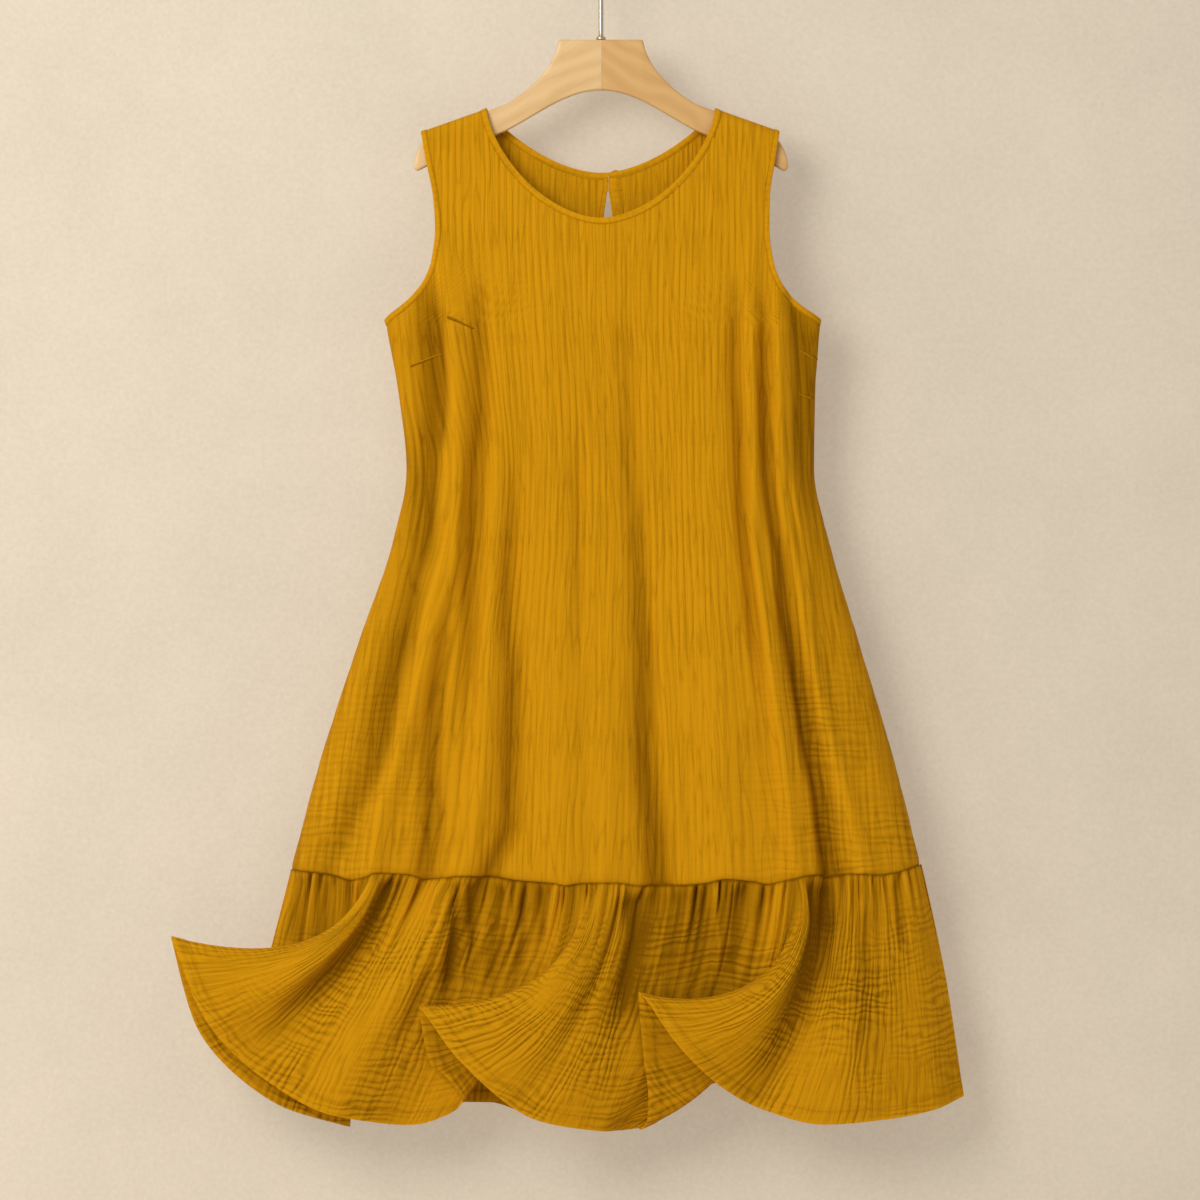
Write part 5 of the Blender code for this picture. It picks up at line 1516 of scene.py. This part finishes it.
def newTube(name, route, radius, material, sides, slotName, nodes):
    # A circle carried along the route, standing square to it; its ends close in a half round
    steps = np.array([1.0, *np.sin(np.linspace(0, math.pi / 2, 5))[-2:0:-1]])
    first, last = unit(route[1] - route[0]), unit(route[-1] - route[-2])
    rounds = np.sqrt(np.maximum(1 - steps**2, 0.004))
    size = np.concatenate([rounds, np.ones(len(route)), rounds[::-1]])
    before = route[0] - first * radius * steps[:, None]
    route = np.vstack([before, route, route[-1] + last * radius * steps[::-1, None]])
    along = unit(np.gradient(route, axis=0))
    side = unit(np.array([0.0, 1.0, 0.0]) - along * along[:, 1:2])
    angle = fullTurn(sides)
    ring = side[:, None] * np.cos(angle)[:, None]
    ring = ring + np.cross(along, side)[:, None] * np.sin(angle)[:, None]
    points = route[:, None] + ring * (radius * size)[:, None, None]
    around = np.broadcast_arrays(angle * radius, runAlong(route)[:, None])
    uv = np.stack(around, axis=-1).reshape(-1, 2)
    return newRound(name, points, uv, material, 60.0, slotName, nodes)


def steelMaterial():
    # Bright plated wire with a little wear in its gloss
    material, tree, shader = newMaterial("steel")
    place = shaderNode(tree, "TexCoord").outputs["Object"]
    spots = shaderNode(tree, "TexNoise", place, Scale=160.0, Detail=3.0)
    rough = mapped(tree, spots.outputs["Fac"], 0.16, 0.34)
    colour = (0.58, 0.50, 0.38, 1.0)
    wire(tree, shader, Metallic=1.0, Roughness=rough, **{"Base Color": colour})
    return material


steel = steelMaterial()
newTube("hook_wire", hookRoute(), hook["wire"] / 2 * mm, steel, hook["sides"], "steel", ["hook"])


def newTurned(name, profile, centre, axis, material, slotName, nodes, sides=40):
    # A profile of (radius, height) turned about an axis through centre
    angle = fullTurn(sides)
    r, h = (values[:, None] * mm for values in np.asarray(profile, float).T)
    rings = np.stack(np.broadcast_arrays(r * np.cos(angle), r * np.sin(angle), h), axis=-1)
    if axis == "y":
        rings = rings[..., [0, 2, 1]] * [1, 1, -1]
    rings = rings + np.array(centre) * mm
    uv = rings.reshape(-1, 3)[:, [0, 2]]
    return newRound(name, rings, uv, material, 35.0, slotName, nodes)


collarProfile = [
    (1.0, -1.6), (4.4, -1.6), (4.9, -1.2), (5.0, -0.6), (5.0, 0.3), (4.6, 0.9), (3.8, 1.3),
    (3.4, 1.5), (3.3, 1.9), (2.8, 2.1), (1.0, 2.1),
]
collarCentre = (0, 0, 1.9 - dress["hookRise"])
newTurned(
    "hook_collar_steel", collarProfile, collarCentre, "z", steel, "steel", ["hook_collar"]
)

button = {"x": 15.0, "radius": 5.5, "gap": 1.2, "sink": 0.3}
loop = {"thread": 0.8, "play": 0.6, "foot": 4.0, "spread": 1.6, "lift": 1.7}
buttonDrop = backNeckFoot + dress["neckBand"] / 2 + 1.4
buttonBase = float(panelY(1, button["x"], buttonDrop)) + button["gap"]
crownAngle = np.linspace(math.pi / 2, 0.0, 9)
crown = [(0.6 + 4.9 * math.cos(a), 1.0 + 1.9 * math.sin(a)) for a in crownAngle]
buttonProfile = [*crown, (button["radius"], 0.5), (5.2, 0.1), (4.0, 0.0), (1.0, 0.0)]
buttonZ = -buttonDrop - dress["hookRise"]
buttonCentre = (button["x"], buttonBase + button["sink"], buttonZ)
newTurned(
    "back_button_covered", buttonProfile, buttonCentre, "y", binding, "button", ["back_button"]
)
loopReach = button["radius"] + loop["play"] + loop["thread"]
turn = np.radians(np.linspace(145, -145, 49))[:, None]
bow = loopReach * np.hstack([np.cos(turn), np.sin(turn)]) + [button["x"], 0.0]
footX = keyhole["x"] - loop["foot"]
out, back = (
    np.linspace((footX, hand * loop["spread"]), bow[end], 8)[:-1]
    for hand, end in ((1, 0), (-1, -1))
)
flat = np.vstack([out, bow, back[::-1]])
loopY = np.full(len(flat), buttonBase + loop["lift"])
loopRoute = np.stack([flat[:, 0], loopY, flat[:, 1] + buttonZ], 1) * mm
newTube(
    "back_loop_thread", loopRoute, loop["thread"] * mm, threadMaterial, 12, "binding",
    ["back_loop"],
)
print("closure and hook made")

# Wall, light and camera
stageLook = {
    "wallY": 0.058,
    "floorZ": -1.75,
    "wall": (0.745, 0.652, 0.520),
    "floor": (0.74, 0.65, 0.53),
    # painted light: how strongly the wall and floor glow, and how bright that glow is at the left
    # and at the right
    "paintedGlow": 0.41,
    "paintedGlowLeft": 1.11,
    "paintedGlowRight": 0.89,
}


def wallMaterial(name, colour):
    # Matt plaster with slow clouds, which glows with painted light, brighter on the left than on
    # the right, so that shadows on it are faint; seen from behind it is clear, so it never hides
    # the back
    material, tree, shader = newMaterial(name)
    place = shaderNode(tree, "TexCoord").outputs["Object"]
    cloud = shaderNode(tree, "TexNoise", place, Scale=7.0, Detail=8.0, Roughness=0.62)
    grit = shaderNode(tree, "TexNoise", place, Scale=210.0, Detail=4.0, Roughness=0.6)
    grit = grit.outputs["Fac"]
    fine = sums(tree, "MULTIPLY", grit, 0.55)
    share = sums(tree, "MULTIPLY_ADD", cloud.outputs["Fac"], 0.45, fine)
    plaster = blended(tree, share, *((*(c * k for c in colour), 1.0) for k in (0.80, 1.20)))
    # Painted light: part of the plaster's colour glows, brighter on the left than on the right
    paintedGlow = stageLook["paintedGlow"]
    across = mapped(
        tree, shaderNode(tree, "SeparateXYZ", place).outputs["X"],
        stageLook["paintedGlowLeft"], stageLook["paintedGlowRight"], **{"From Min": -0.6, "From Max": 0.6},
    )
    dull, lit = (
        shaderNode(tree, "VectorMath", plaster, operation="SCALE", Scale=factor).outputs[0]
        for factor in (1.0 - paintedGlow, across)
    )
    wire(tree, shader, Roughness=0.95, Normal=bumped(tree, grit, 0.5, 0.4), **{
        "Specular IOR Level": 0.1, "Base Color": dull, "Emission Color": lit,
        "Emission Strength": paintedGlow,
    })
    clear = shaderNode(tree, "BsdfTransparent").outputs[0]
    behind = shaderNode(tree, "NewGeometry").outputs["Backfacing"]
    choose = shaderNode(tree, "MixShader", behind, shader.outputs[0], clear)
    wire(tree, tree.nodes["Material Output"], Surface=choose.outputs[0])
    return material


def newPlane(name, corners):
    mesh = bpy.data.meshes.new(name)
    mesh.from_pydata(corners, [], [(0, 1, 2, 3)])
    mesh.materials.append(wallMaterial(name, stageLook[name]))
    plane = bpy.data.objects.new(name, mesh)
    bpy.context.scene.collection.objects.link(plane)


wallY, floorZ = stageLook["wallY"], stageLook["floorZ"]
newPlane("wall", [(-3, wallY, floorZ), (3, wallY, floorZ), (3, wallY, 1.6), (-3, wallY, 1.6)])
newPlane("floor", [(-3, -4, floorZ), (3, -4, floorZ), (3, wallY, floorZ), (-3, wallY, floorZ)])


def areaLight(name, place, aim, size, power, colour):
    # A round lamp, turned so that it shines towards aim
    lamp = bpy.data.lights.new(name, "AREA")
    lamp.shape = "DISK"
    lamp.size, lamp.energy, lamp.color = size, power, colour
    item = bpy.data.objects.new(name, lamp)
    item.location = place
    way = unit(np.array(aim, float) - np.array(place, float))
    item.rotation_euler = (math.acos(-way[2]), 0.0, math.atan2(way[1], way[0]) - math.pi / 2)
    bpy.context.scene.collection.objects.link(item)


lights = {
    # name: place, aim, size, power, colour
    "key": ((-1.7, -2.8, 0.7), (0, 0, -0.6), 1.9, 70.0, (1.0, 0.985, 0.95)),
    "behind": ((0.8, 2.6, 0.6), (0, 0, -0.6), 1.6, 30.0, (1.0, 0.985, 0.95)),
}
for name, settings in lights.items():
    areaLight(name, *settings)
world = bpy.data.worlds.new("studio")
world.use_nodes = True
background = world.node_tree.nodes["Background"]
wire(world.node_tree, background, Color=(1.0, 0.985, 0.96, 1.0), Strength=0.52)
bpy.context.scene.world = world
bpy.context.scene.view_settings.view_transform = "Standard"

view = {"lens": 200.0, "distance": 6.6667, "x": -0.001, "z": -0.654}
cameraData = bpy.data.cameras.new("camera")
cameraData.lens = view["lens"]
cameraData.sensor_width = 36.0
eye = bpy.data.objects.new("camera", cameraData)
eye.location = (view["x"], -view["distance"], view["z"])
eye.rotation_euler = (math.pi / 2, 0.0, 0.0)
bpy.context.scene.collection.objects.link(eye)
bpy.context.scene.camera = eye
print("stage set")
